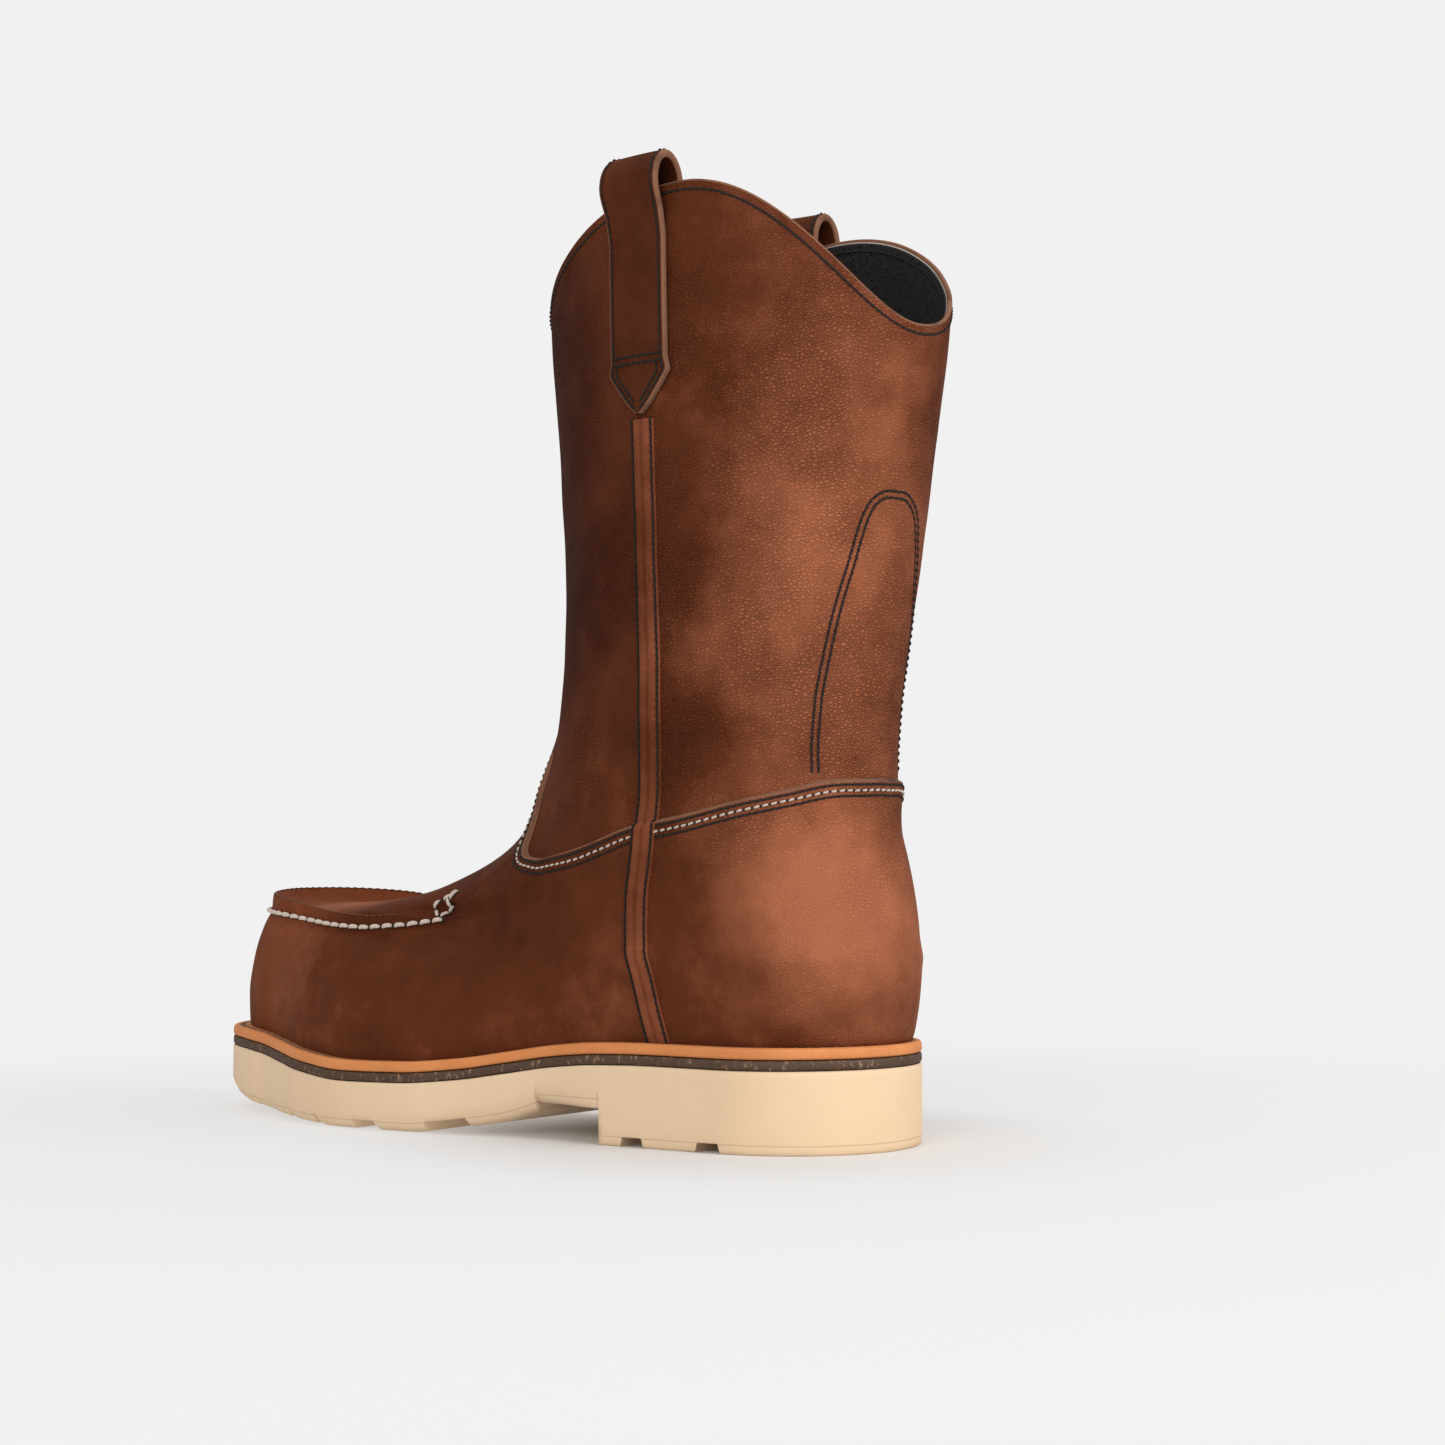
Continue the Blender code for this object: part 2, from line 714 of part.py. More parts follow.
def build_moc_seam():
    """Upright seam round the toe plug, standing on the upper's crest."""
    turns = np.linspace(-MOC_SEAM_END, MOC_SEAM_END, MOC_SEAM_STEPS)
    outer, inner = [], []
    for turn in turns:
        angle = math.radians(turn)
        level = float(smooth_curve(MOC_LINE, 1, abs(turn)))
        pitch = np.linalg.norm(shell(angle, level + 1) - shell(angle, level))
        reach = MOC_SEAM_WIDTH / pitch
        lift = GAP + SEAM_CLEARANCE
        base = [face_point(angle, level + share * reach, lift) for share in (0.0, 0.5, 1.0)]
        top = base[0][2] + float(smooth_curve(MOC_SEAM_HEIGHTS, 1, turn))
        lean = (base[2] - base[0]) * MOC_SEAM_LEAN
        crown = [base[0] + lean, (base[0] + base[2] + lean) / 2, base[2]]
        crown = [np.array([point[0], point[1], top]) for point in crown]
        inner.append(base)
        outer.append(crown)
    return slab("moc_seam", outer, inner, "trim_leather")


def strip_middle(level, side):
    """Distance and height of a side strip's middle at a level, found in a few steps."""
    middle = along(SIDE_LINE[-1][1])
    for _ in range(4):
        height = float(shell(angle_at(level, middle, side), level)[2])
        middle = along(float(smooth_curve(SIDE_LINE, 1, height / COLLAR_PEAK)))
    return middle, height


def strip_foot(side):
    """Lowest level of a side strip, just over the welt."""
    for level in np.linspace(0, 1, STRIP_FOOT_STEPS):
        middle, height = strip_middle(level, side)
        if height > float(welt_top(middle)) + STRIP_END_CLEARANCE:
            return float(level)
    return 1.0


def build_side_strip(name, side):
    """Leather strip over the side seam, from the welt to the tip of the pull strap."""
    guide = side * math.radians(SIDE_SEAM_ANGLE)
    levels = column_levels(guide, -STRIP_LEDGE)
    tip = level_at(guide, STRAP_TIP_HEIGHT - STRIP_END_CLEARANCE)
    foot = strip_foot(side)
    levels = [foot] + [level for level in levels if foot < level < tip] + [tip]
    outer, inner = [], []
    for level in levels:
        middle, _ = strip_middle(level, side)
        outer_row, inner_row = [], []
        for across in (-1.0, 0.0, 1.0):
            angle = angle_at(level, middle + across * STRIP_WIDTH / 2, side)
            inner_row.append(face_point(angle, level, GAP + SKIN_CLEARANCE, -STRIP_LEDGE))
            outer_row.append(face_point(angle, level, GAP + SKIN_CLEARANCE + STRIP_THICKNESS, -STRIP_LEDGE))
        outer.append(outer_row)
        inner.append(inner_row)
    return slab(name, outer, inner, "trim_leather")


def strap_path():
    """Middle line of a pull strap: distance out from the shaft's face, height and half width."""
    seat = GAP + SKIN_CLEARANCE + STRAP_THICKNESS / 2
    half = STRAP_WIDTH / 2
    point = STRAP_SHOULDER_HEIGHT - STRAP_TIP_HEIGHT
    rows = [(seat, STRAP_TIP_HEIGHT + share * point, half * width) for share, width in STRAP_POINT]
    leave = COLLAR_PEAK - STRAP_LEAVE
    for height in np.linspace(STRAP_SHOULDER_HEIGHT, leave, 5)[1:]:
        rows.append((seat, float(height), half))
    halfway = STRAP_SPREAD * STRAP_SPREAD_HALFWAY
    rows.append((seat + halfway, (leave + COLLAR_PEAK) / 2, half))
    reach = seat + STRAP_SPREAD + UPPER_WALL / 2
    rise = STRAP_RISE + STRAP_THICKNESS / 2
    for turn in np.linspace(0, math.pi, STRAP_ROWS):
        rows.append((reach * math.cos(turn) - UPPER_WALL / 2, COLLAR_PEAK + rise * math.sin(turn), half))
    rows.append((-UPPER_WALL - seat - halfway, (leave + COLLAR_PEAK) / 2, half))
    for height in np.linspace(leave, STRAP_INNER_HEIGHT, 4):
        rows.append((-UPPER_WALL - seat, float(height), half))
    return rows


def build_pull_strap(name, side):
    path = np.array(strap_path())
    run = np.gradient(path[:, :2], axis=0)
    run /= np.linalg.norm(run, axis=1, keepdims=True)
    guide = side * math.radians(STRAP_ANGLE)
    outer, inner = [], []
    for (out, height, half), (run_out, run_up) in zip(path, run):
        outer_row, inner_row = [], []
        for across in (-1.0, -0.5, 0.0, 0.5, 1.0):
            for row, lift in ((outer_row, 1), (inner_row, -1)):
                offset = out + lift * run_up * STRAP_THICKNESS / 2
                z = height - lift * run_out * STRAP_THICKNESS / 2
                level = level_at(guide, min(z, COLLAR_PEAK))
                angle = angle_at(level, along(STRAP_STATION) + across * half, side)
                normal = outward(angle, level) * (1, 1, 0)
                point = shell(angle, level) + normal / np.linalg.norm(normal) * offset
                row.append(np.array([point[0], point[1], z]))
        outer.append(outer_row)
        inner.append(inner_row)
    return slab(name, outer, inner, "trim_leather")


for old in list(bpy.data.objects):
    bpy.data.objects.remove(old, do_unlink=True)
BOOT = bpy.data.collections.new("work_boot")
bpy.context.scene.collection.children.link(BOOT)

build_outsole()
build_midsole()
build_welt()
build_insole()
build_upper()
build_moc_seam()
for side_name, side_sign in (("lateral", 1), ("medial", -1)):
    build_side_strip("side_strip_" + side_name, side_sign)
    build_pull_strap("pull_strap_" + side_name, side_sign)
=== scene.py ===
import math

import bpy
import numpy as np
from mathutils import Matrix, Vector


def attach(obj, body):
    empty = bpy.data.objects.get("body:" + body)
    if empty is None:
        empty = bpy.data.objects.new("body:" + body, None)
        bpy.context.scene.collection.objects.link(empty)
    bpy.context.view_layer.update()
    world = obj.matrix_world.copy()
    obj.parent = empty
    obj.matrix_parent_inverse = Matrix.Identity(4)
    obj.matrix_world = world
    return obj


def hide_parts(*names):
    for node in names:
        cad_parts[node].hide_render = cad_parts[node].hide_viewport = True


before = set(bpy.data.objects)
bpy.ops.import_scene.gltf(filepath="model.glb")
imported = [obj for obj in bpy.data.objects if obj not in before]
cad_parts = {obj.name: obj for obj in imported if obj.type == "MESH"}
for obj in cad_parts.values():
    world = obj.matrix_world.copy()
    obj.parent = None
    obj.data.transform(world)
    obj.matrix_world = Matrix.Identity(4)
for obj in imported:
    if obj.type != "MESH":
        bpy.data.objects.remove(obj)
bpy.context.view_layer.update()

# All sizes are metres. Distance runs from the middle of the heel to the toe, a station is its share
# of the sole's length, and angle runs round the leg from the front over the lateral side.

last = {
    "soleLength": 0.303, "ballWidth": 0.107, "heelRadius": 0.044, "originDistance": 0.018,
    "heelHeight": 0.0267, "archClearance": 0.012, "heelBreast": 0.047, "toeRadius": 0.040,
    "toeSwing": 0.013, "ankleHeight": 0.145, "collarPeak": 0.318, "collarFront": 0.284,
    "collarBack": 0.2695, "shaftDepth": 0.129, "shaftWidth": 0.088, "shaftBack": -0.0387,
    "featherInset": 0.005, "tuckStart": 0.38, "tuckFull": 0.64, "gap": 0.0003,
}

# station, lateral and medial edge as shares of the ball width
outline = (
    (0.000, 0.411, -0.411), (0.145, 0.414, -0.411), (0.300, 0.420, -0.393), (0.383, 0.402, -0.340),
    (0.475, 0.439, -0.374), (0.574, 0.491, -0.445), (0.657, 0.500, -0.500), (0.749, 0.437, -0.514),
    (0.805, 0.364, -0.508), (0.868, 0.285, -0.495), (0.937, 0.252, -0.495), (1.000, 0.252, -0.495),
)
crest = (
    (0.000, 0.397, -0.397), (0.145, 0.402, -0.402), (0.340, 0.400, -0.393), (0.410, 0.362, -0.362),
    (0.525, 0.310, -0.345), (0.578, 0.290, -0.350), (0.637, 0.299, -0.374), (0.683, 0.302, -0.393),
    (0.733, 0.287, -0.411), (0.792, 0.247, -0.421), (0.832, 0.234, -0.421), (1.000, 0.234, -0.421),
)
topLine = (   # station, share of heelHeight
    (0.000, 1.011), (0.145, 1.000), (0.234, 1.004), (0.304, 0.985), (0.373, 0.918), (0.436, 0.809),
    (0.498, 0.704), (0.574, 0.637), (0.653, 0.625), (0.739, 0.685), (0.821, 0.790), (0.900, 0.880),
    (1.000, 0.918),
)
treadLine = (   # station, share of archClearance
    (0.396, 0.770), (0.442, 0.420), (0.488, 0.225), (0.528, 0.090), (0.565, 0.000), (0.690, 0.000),
    (0.746, 0.035), (0.822, 0.095), (0.878, 0.200), (0.930, 0.300), (0.964, 0.460), (1.000, 0.830),
)
notches = ((0.140, 0.173), (0.240, 0.272), (0.485, 0.545), (0.610, 0.651), (0.707, 0.729),
           (0.774, 0.799), (0.878, 0.894))

footRings = (
    # back, height, front, height, dip, form, inset, tuck, seat, nose, swing
    (0.0116, 0.240, 0.9769, 0.218, 1.00, 0.00, 1.00, 0.000, 0.134, 0.119, 1.00),
    (0.0017, 0.303, 0.9779, 0.303, 0.95, 0.02, 0.80, 0.000, 0.137, 0.119, 1.00),
    (-0.0033, 0.393, 0.9680, 0.393, 0.75, 0.26, 0.70, 0.000, 0.142, 0.119, 0.96),
    (-0.0033, 0.418, 0.9500, 0.469, 0.55, 0.62, 0.40, 0.000, 0.142, 0.117, 0.88),
    (-0.0026, 0.434, 0.9310, 0.521, 0.40, 1.00, 0.00, 0.000, 0.142, 0.116, 0.77),
    (-0.0010, 0.452, 0.9150, 0.538, 0.30, 1.00, 0.00, 0.020, 0.142, 0.125, 0.77),
    (0.0007, 0.476, 0.8700, 0.546, 0.20, 1.00, 0.00, 0.038, 0.142, 0.158, 0.69),
    (0.0013, 0.500, 0.8050, 0.549, 0.15, 1.00, 0.00, 0.056, 0.142, 0.185, 0.62),
    (0.0026, 0.528, 0.7390, 0.556, 0.10, 1.00, 0.00, 0.038, 0.142, 0.198, 0.54),
    (0.0046, 0.562, 0.6670, 0.577, 0.05, 1.00, 0.00, 0.010, 0.144, 0.205, 0.50),
    (0.0079, 0.603, 0.6010, 0.621, 0.00, 1.00, 0.00, 0.000, 0.149, 0.218, 0.46),
    (0.0132, 0.658, 0.5380, 0.686, 0.00, 1.00, 0.00, 0.000, 0.158, 0.224, 0.38),
    (0.0195, 0.721, 0.5020, 0.755, 0.00, 1.06, 0.00, 0.000, 0.172, 0.218, 0.31),
    (0.0231, 0.793, 0.4790, 0.826, 0.00, 1.25, 0.00, 0.000, 0.188, 0.215, 0.20),
    (0.0224, 0.869, 0.4590, 0.903, 0.00, 1.65, 0.00, 0.000, 0.205, 0.215, 0.10),
)
shaftRings = (   # share from ankle to collar peak, back, front, width
    (0.000, 0.000, 1.000, 1.000), (0.092, -0.019, 0.989, 1.000), (0.295, -0.060, 0.981, 1.045),
    (0.532, -0.109, 1.001, 1.091), (0.659, -0.136, 1.019, 1.114), (0.815, -0.158, 1.033, 1.136),
    (1.030, -0.174, 1.050, 1.150),
)

def smoothCurve(rows, column, at):
    x = np.array([row[0] for row in rows])
    y = np.array([row[column] for row in rows])
    at = np.clip(np.asarray(at, float), x[0], x[-1])
    run = np.diff(x)
    slope = np.diff(y) / run
    tangent = np.zeros_like(y)
    same = slope[:-1] * slope[1:] > 0
    before, after = slope[:-1][same], slope[1:][same]
    tangent[1:-1][same] = 2 * before * after / (before + after)
    tangent[0], tangent[-1] = slope[0], slope[-1]
    i = np.clip(np.searchsorted(x, at, side="right") - 1, 0, len(run) - 1)
    t = (at - x[i]) / run[i]
    h = run[i]
    return ((1 + 2 * t) * (1 - t) ** 2 * y[i] + t * (1 - t) ** 2 * h * tangent[i]
            + t * t * (3 - 2 * t) * y[i + 1] + t * t * (t - 1) * h * tangent[i + 1])

def smoothStep(low, high, at):
    t = np.clip((at - low) / (high - low), 0, 1)
    return t * t * (3 - 2 * t)

def along(station):
    return station * last["soleLength"] - last["heelRadius"]

def stationAt(distance):
    return (distance + last["heelRadius"]) / last["soleLength"]

def yAt(distance):
    return last["originDistance"] - distance

def roundEnd(run, length):
    t = np.clip(run / length, 0, 1)
    return np.sqrt(1 - (1 - t) ** 2)

# The sole

sole = {
    "midsoleThickness": 0.0031, "weltThickness": 0.0037, "weltBreadth": 0.015,
    "insoleThickness": 0.0034, "treadTuck": 0.0048, "heelTuck": 0.0006, "sideRound": 0.0068,
    "lugDepth": 0.0032, "lugSlope": 0.0012, "stations": 260,
}

def outsoleTop(distance):
    return smoothCurve(topLine, 1, stationAt(distance)) * last["heelHeight"]

def midsoleBottom(distance):
    return outsoleTop(distance) + last["gap"]

def midsoleTop(distance):
    return midsoleBottom(distance) + sole["midsoleThickness"]

def weltBottom(distance):
    return midsoleTop(distance) + last["gap"]

def weltTop(distance):
    return weltBottom(distance) + sole["weltThickness"]

def tread(distance):
    line = smoothCurve(treadLine, 1, stationAt(distance)) * last["archClearance"]
    arch = along(treadLine[0][0])
    return np.where(distance < last["heelBreast"], 0.0,
                    np.where(distance < arch, last["archClearance"], line))

def underside(distance):
    height = tread(distance)
    for first, final in notches:
        mouth = np.minimum(distance - along(first), along(final) - distance) / sole["lugSlope"]
        height = height + sole["lugDepth"] * smoothStep(0, 1, mouth)
    return height

def soleEdges(distance, inset):
    station = stationAt(distance)
    lateral = smoothCurve(outline, 1, station) * last["ballWidth"] - inset
    medial = smoothCurve(outline, 2, station) * last["ballWidth"] + inset
    toe = last["soleLength"] - last["heelRadius"]
    back = roundEnd(distance + last["heelRadius"] - inset, last["heelRadius"] - inset)
    front = roundEnd(toe - inset - distance, last["toeRadius"] - inset)
    middle = -last["toeSwing"] * smoothStep(0, toe - last["toeRadius"], distance)
    return middle + (lateral - middle) * back * front, middle + (medial - middle) * back * front

def soleStations(steps):
    turn = np.linspace(0, math.pi, sole["stations"] + 1)
    places = along((1 - np.cos(turn)) / 2)
    if steps:
        extra = []
        for edge in (last["heelBreast"], along(treadLine[0][0])):
            extra += [edge - 2e-5, edge + 2e-5]
        for first, final in notches:
            run = np.linspace(0, sole["lugSlope"], 5)
            extra += list(along(first) + run) + list(along(final) - run)
        places = places[np.min(np.abs(places[:, None] - np.array(extra)), axis=1) > 2e-4]
        places = np.sort(np.concatenate([places, extra]))
    return places

def soleLoop(inset, height, steps=False):
    places = soleStations(steps)
    insets = inset(places) if callable(inset) else np.full(places.shape, inset)
    middle = last["soleLength"] / 2 - last["heelRadius"]
    moved = middle + (places - middle) * (1 - 2 * insets / last["soleLength"])
    lateral, medial = soleEdges(moved, insets)
    z = height(places)
    out = np.stack([lateral, yAt(moved), z], axis=-1)
    back = np.stack([medial, yAt(moved), z], axis=-1)
    return np.concatenate([out, back[-2:0:-1]])

# The upper's face

def ringMeasures():
    size, rows = last, []
    for i, (back, backZ, front, frontZ, dip, form, inset, tuck, seat, nose, swing) in enumerate(footRings):
        rows.append((i, along(back), backZ * size["ankleHeight"], along(front),
                     frontZ * size["ankleHeight"], dip, form, inset * size["featherInset"],
                     tuck * size["ballWidth"], seat * size["soleLength"], nose * size["soleLength"],
                     swing * size["toeSwing"], size["shaftWidth"] / 2))
    for i, (share, back, front, width) in enumerate(shaftRings):
        z = size["ankleHeight"] + share * (size["collarPeak"] - size["ankleHeight"])
        low = size["shaftBack"] + back * size["shaftDepth"]
        high = size["shaftBack"] + front * size["shaftDepth"]
        rows.append((len(footRings) + i, low, z, high, z, 0.0, 2.0, 0.0, 0.0, (high - low) / 2,
                     (high - low) / 2, 0.0, width * size["shaftWidth"] / 2))
    return rows

rings = ringMeasures()
topLevel = len(rings) - 1

def shell(angle, level):   # point of the bare outer face
    angle, level = np.broadcast_arrays(np.asarray(angle, float), np.asarray(level, float))
    (back, backZ, front, frontZ, dip, form, inset, tuck, seat, nose, swing, halfWidth) = [
        smoothCurve(rings, column, level) for column in range(1, 13)]
    share = (1 + np.cos(angle)) / 2
    distance = back + (front - back) * share
    lateralSide = np.sin(angle) >= 0
    first, final = along(footRings[0][0]), along(footRings[0][2])
    seatPlace = first + (final - first) * share
    sag = weltTop(seatPlace) - weltTop(first) - (weltTop(final) - weltTop(first)) * share
    z = backZ + (frontZ - backZ) * share + dip * sag
    base = weltTop(seatPlace) + last["gap"]
    z = base + (z - base) * smoothStep(0.0, 1.0, level)
    station = stationAt(distance)
    narrowing = tuck * smoothStep(last["tuckStart"], last["tuckFull"], station)
    side = np.where(lateralSide, 1.0, -1.0)
    soleHalf = np.where(lateralSide, smoothCurve(outline, 1, station), -smoothCurve(outline, 2, station))
    crestHalf = np.where(lateralSide, smoothCurve(crest, 1, station), -smoothCurve(crest, 2, station))
    soleHalf = soleHalf * last["ballWidth"] - inset
    crestHalf = crestHalf * last["ballWidth"] - narrowing
    half = soleHalf + (crestHalf - soleHalf) * np.clip(form, 0, 1)
    half = half + (halfWidth - half) * np.clip(form - 1, 0, 1)
    middle = -swing * smoothStep(0.0, 1.0, share)
    cap = roundEnd(distance - back, seat) * roundEnd(front - distance, nose)
    return np.stack([middle + (side * half - middle) * cap, yAt(distance), z], axis=-1)

def unit(vectors):
    return vectors / np.maximum(np.linalg.norm(vectors, axis=-1, keepdims=True), 1e-12)

def slopes(angle, level):   # how the face runs with angle and with level
    step = 1e-3
    low = np.clip(np.asarray(level, float) - step, 0, topLevel)
    high = np.clip(np.asarray(level, float) + step, 0, topLevel)
    around = (shell(angle + step, level) - shell(angle - step, level)) / (2 * step)
    up = (shell(angle, high) - shell(angle, low)) / (high - low)[..., None]
    return around, up

def outward(angle, level):
    around, up = slopes(angle, level)
    return unit(np.cross(around, up))

def levelsAt(angles, heights):   # level where the face reaches a height, for each angle
    ladder = np.linspace(0, topLevel, 16 * topLevel + 1)
    z = np.maximum.accumulate(shell(np.asarray(angles)[:, None], ladder[None, :])[..., 2], axis=1)
    return np.array([np.interp(height, row, ladder) for height, row in zip(heights, z)])

def turnOf(angle):   # degrees from the front, on either side
    return np.abs((np.degrees(angle) + 180) % 360 - 180)

def collarHeight(angle):
    peak, back = 96.0, 170.0
    turn = np.degrees(angle) % 360
    size, height = last, np.zeros_like(turn)
    marks = ((0, size["collarFront"]), (peak, size["collarPeak"]), (back, size["collarBack"]),
             (360 - peak, size["collarPeak"]), (360.001, size["collarFront"]))
    for (first, low), (final, high) in zip(marks, marks[1:]):
        share = (1 - np.cos(math.pi * (turn - first) / (final - first))) / 2
        height = np.where((turn >= first) & (turn < final), low + (high - low) * share, height)
    return height

# Top edge of the vamp and counter, which lie over the shaft
lap = {
    "low": 0.0946, "counter": 0.121, "tongue": 0.149, "step": 0.0017, "breadth": 0.018,
    "rounding": 0.0006, "wander": 0.00035,
    "line": ((66.0, 0.00), (74.0, 0.10), (82.0, 0.26), (89.0, 0.39), (97.0, 0.47), (112.0, 0.61),
             (137.0, 0.85), (160.0, 0.985), (180.0, 1.00)),
    "tongueLine": ((0.0, 1.00), (10.5, 0.945), (18.6, 0.724), (25.2, 0.577), (32.3, 0.412),
                   (40.0, 0.265), (50.0, 0.081), (58.0, 0.017), (64.0, 0.00)),
    "rows": (-0.0034, -0.0022, -0.0014, -0.0009, -0.0006, -0.0004, -0.0002, -0.00005, 0.0001, 0.0004),
}

def lapHeight(angle):
    turn = turnOf(angle)
    side = lap["low"] + smoothCurve(lap["line"], 1, turn) * (lap["counter"] - lap["low"])
    tongue = lap["low"] + smoothCurve(lap["tongueLine"], 1, turn) * (lap["tongue"] - lap["low"])
    drift = lap["wander"] * np.sin(np.radians(turn) * 9) * np.sin(angle * 4 + 1)
    return np.where(turn < lap["line"][0][0], tongue, side) + drift

def lapThickness(angle, z):
    below = lapHeight(angle) - z
    edge = roundEnd(below + 5e-5, lap["rounding"])
    return np.where(below < -5e-5, 0.0, lap["step"] * edge * (1 - smoothStep(0, lap["breadth"], below)))

# Foot of the upright toe seam: angle and level on the face
rim = {
    "line": ((0.0, 4.00), (33.0, 3.95), (50.0, 3.85), (60.0, 3.95), (68.0, 4.55), (76.0, 6.00)),
    "end": 75.0, "width": 0.0026, "lean": 0.25, "steps": 241, "fade": 9.0,
    # place across in widths, height in shares; the last rows run down into the toe plug
    "profile": ((0.00, -0.20), (0.00, 0.20), (0.02, 0.55), (0.05, 0.80), (0.14, 0.94), (0.28, 1.00),
                (0.42, 0.98), (0.52, 0.93), (0.60, 0.97), (0.78, 0.98), (1.10, 0.90), (1.55, 0.72),
                (2.10, 0.50), (2.70, 0.30), (3.40, 0.14), (4.20, 0.03), (5.00, -0.06)),
    "plugFrom": 8, "plugSink": 0.0009, "endShare": 0.25,
    # stitches: free angle at the ends, place out and up from the foot, lean of their normal
    "handEnd": 1, "handOut": 0.0006, "handUp": 0.0008, "handLean": 0.55,
    "fineEnd": 8, "fineRow": 9, "fineUp": 0.0001,
    # angle, negative on the inner side, and height of the rim
    "heights": ((-75.0, 0.0048), (-62.0, 0.0080), (-35.0, 0.0092), (0.0, 0.0088), (20.0, 0.0075),
                (45.0, 0.0058), (75.0, 0.0046)),
}

# Soft creases and dents: angle and height at both ends, bow, half width and depth in millimetres
creases = (
    (52, 101, 88, 118, 3.0, 7.0, 0.55), (46, 112, 80, 131, 2.0, 8.0, 0.50),
    (100, 128, 150, 140, -3.0, 9.0, 0.50), (-52, 101, -88, 118, 3.0, 7.0, 0.55),
    (-46, 112, -80, 131, 2.0, 8.0, 0.50), (-100, 128, -150, 140, -3.0, 9.0, 0.50),
    (10, 168, 16, 232, 5.0, 11.0, -0.60), (38, 160, 34, 262, -4.0, 13.0, 0.75),
    (62, 176, 70, 250, 4.0, 12.0, -0.40), (118, 160, 122, 246, 5.0, 14.0, 0.55),
    (-30, 160, -34, 262, -4.0, 13.0, 0.75), (-118, 160, -122, 246, 5.0, 14.0, 0.55),
    (40, 84, 62, 74, 2.0, 6.0, 0.40), (-40, 84, -62, 74, 2.0, 6.0, 0.40),
    (142, 92, 168, 70, 3.0, 10.0, -0.35), (96, 66, 130, 58, 3.0, 9.0, 0.35),
)

def creasePath(row):
    fromAngle, fromHeight, toAngle, toHeight, bow = row[:5]
    share = np.linspace(0, 1, 9)
    angles = np.radians(fromAngle + (toAngle - fromAngle) * share)
    heights = (fromHeight + (toHeight - fromHeight) * share + bow * np.sin(math.pi * share)) / 1000
    return shell(angles, levelsAt(angles, heights)), share

creasePaths = [creasePath(row) for row in creases]

# Fold of the vamp from the box stitch to the corner of the lap: angle and level
fold = {"path": ((64.0, 7.2), (55.0, 8.60), (52.0, 9.70), (50.0, 10.25), (51.0, 10.60)),
        "steps": 24, "halfWidth": 0.0022, "depth": 0.0011}

def foldPath(side):
    rows = [(i, math.radians(turn) * side, level) for i, (turn, level) in enumerate(fold["path"])]
    place = np.linspace(0, len(rows) - 1, fold["steps"])
    return shell(smoothCurve(rows, 1, place), smoothCurve(rows, 2, place))

foldPaths = [foldPath(1), foldPath(-1)]

def relief(angle, level, points):   # creases, sunken plug and slight unevenness of the face
    height = np.zeros(points.shape[:-1])
    for (path, share), row in zip(creasePaths, creases):
        width, depth = row[5] / 1000, row[6] / 1000
        for i in range(len(path)):
            taper = math.sin(math.pi * (0.08 + 0.84 * share[i]))
            reach = np.exp(-np.sum((points - path[i]) ** 2, axis=-1) / width ** 2)
            height = height - depth * 0.55 * taper * reach
    for path in foldPaths:
        nearest = np.full(points.shape[:-1], 1.0)
        for i in range(len(path)):
            fade = 1 + 8 * max(0, i - len(path) + 5) / 5
            nearest = np.minimum(nearest, np.sum((points - path[i]) ** 2, axis=-1) * fade)
        height = height - fold["depth"] * np.exp(-nearest / fold["halfWidth"] ** 2)
    turn = turnOf(angle)
    foot = smoothCurve(rim["line"], 1, turn)
    inside = smoothStep(0.35, 1.4, level - foot) * (1 - smoothStep(7.5, 10.5, level))
    height = height - rim["plugSink"] * inside * (1 - smoothStep(58, 76, turn))
    x, y, z = points[..., 0], points[..., 1], points[..., 2]
    ripple = np.sin(x * 71 + z * 53 + 1.3) * np.sin(y * 67 - z * 31 + 0.4)
    ripple = ripple + 0.5 * np.sin(x * 150 - z * 120 + y * 90) * np.sin(z * 140 + y * 60)
    calm = smoothStep(0.030, 0.060, z)
    return height + 0.00022 * ripple * calm

def dressed(angle, level, lift=0.0):   # point over the dressed face, and its outward direction
    angle, level = np.broadcast_arrays(np.asarray(angle, float), np.asarray(level, float))
    points, normals = shell(angle, level), outward(angle, level)
    rise = lift + lapThickness(angle, points[..., 2]) + relief(angle, level, points)
    return points + normals * rise[..., None], normals

def facePath(angles, levels, offset=0.0):   # path on the face moved sideways, as angles and levels
    points, normals = shell(angles, levels), outward(angles, levels)
    target = points + unit(np.cross(normals, np.gradient(points, axis=0))) * offset
    for _ in range(3):
        around, up = slopes(angles, levels)
        miss = target - shell(angles, levels)
        aa, ab, bb = (np.sum(p * q, axis=-1) for p, q in ((around, around), (around, up), (up, up)))
        am, bm = np.sum(around * miss, axis=-1), np.sum(up * miss, axis=-1)
        scale = np.maximum(aa * bb - ab * ab, 1e-18)
        angles = angles + (am * bb - bm * ab) / scale
        levels = np.clip(levels + (bm * aa - am * ab) / scale, 0, topLevel)
    return angles, levels

# Meshes

def meshOf(name, points, quads, rowsOfMaterial=None):
    mesh = bpy.data.meshes.new(name)
    mesh.from_pydata([tuple(p) for p in points], [], [tuple(q) for q in quads])
    mesh.shade_smooth()
    if rowsOfMaterial is not None:
        mesh.polygons.foreach_set("material_index", np.asarray(rowsOfMaterial, dtype=np.int32))
    mesh.update()
    return mesh

def gridQuads(rows, columns, closed, flip=False, start=0):
    i, j = np.meshgrid(np.arange(rows - 1), np.arange(columns if closed else columns - 1), indexing="ij")
    k = (j + 1) % columns
    quads = np.stack([i * columns + j, i * columns + k, (i + 1) * columns + k, (i + 1) * columns + j], -1)
    quads = quads.reshape(-1, 4) + start
    return quads[:, ::-1] if flip else quads

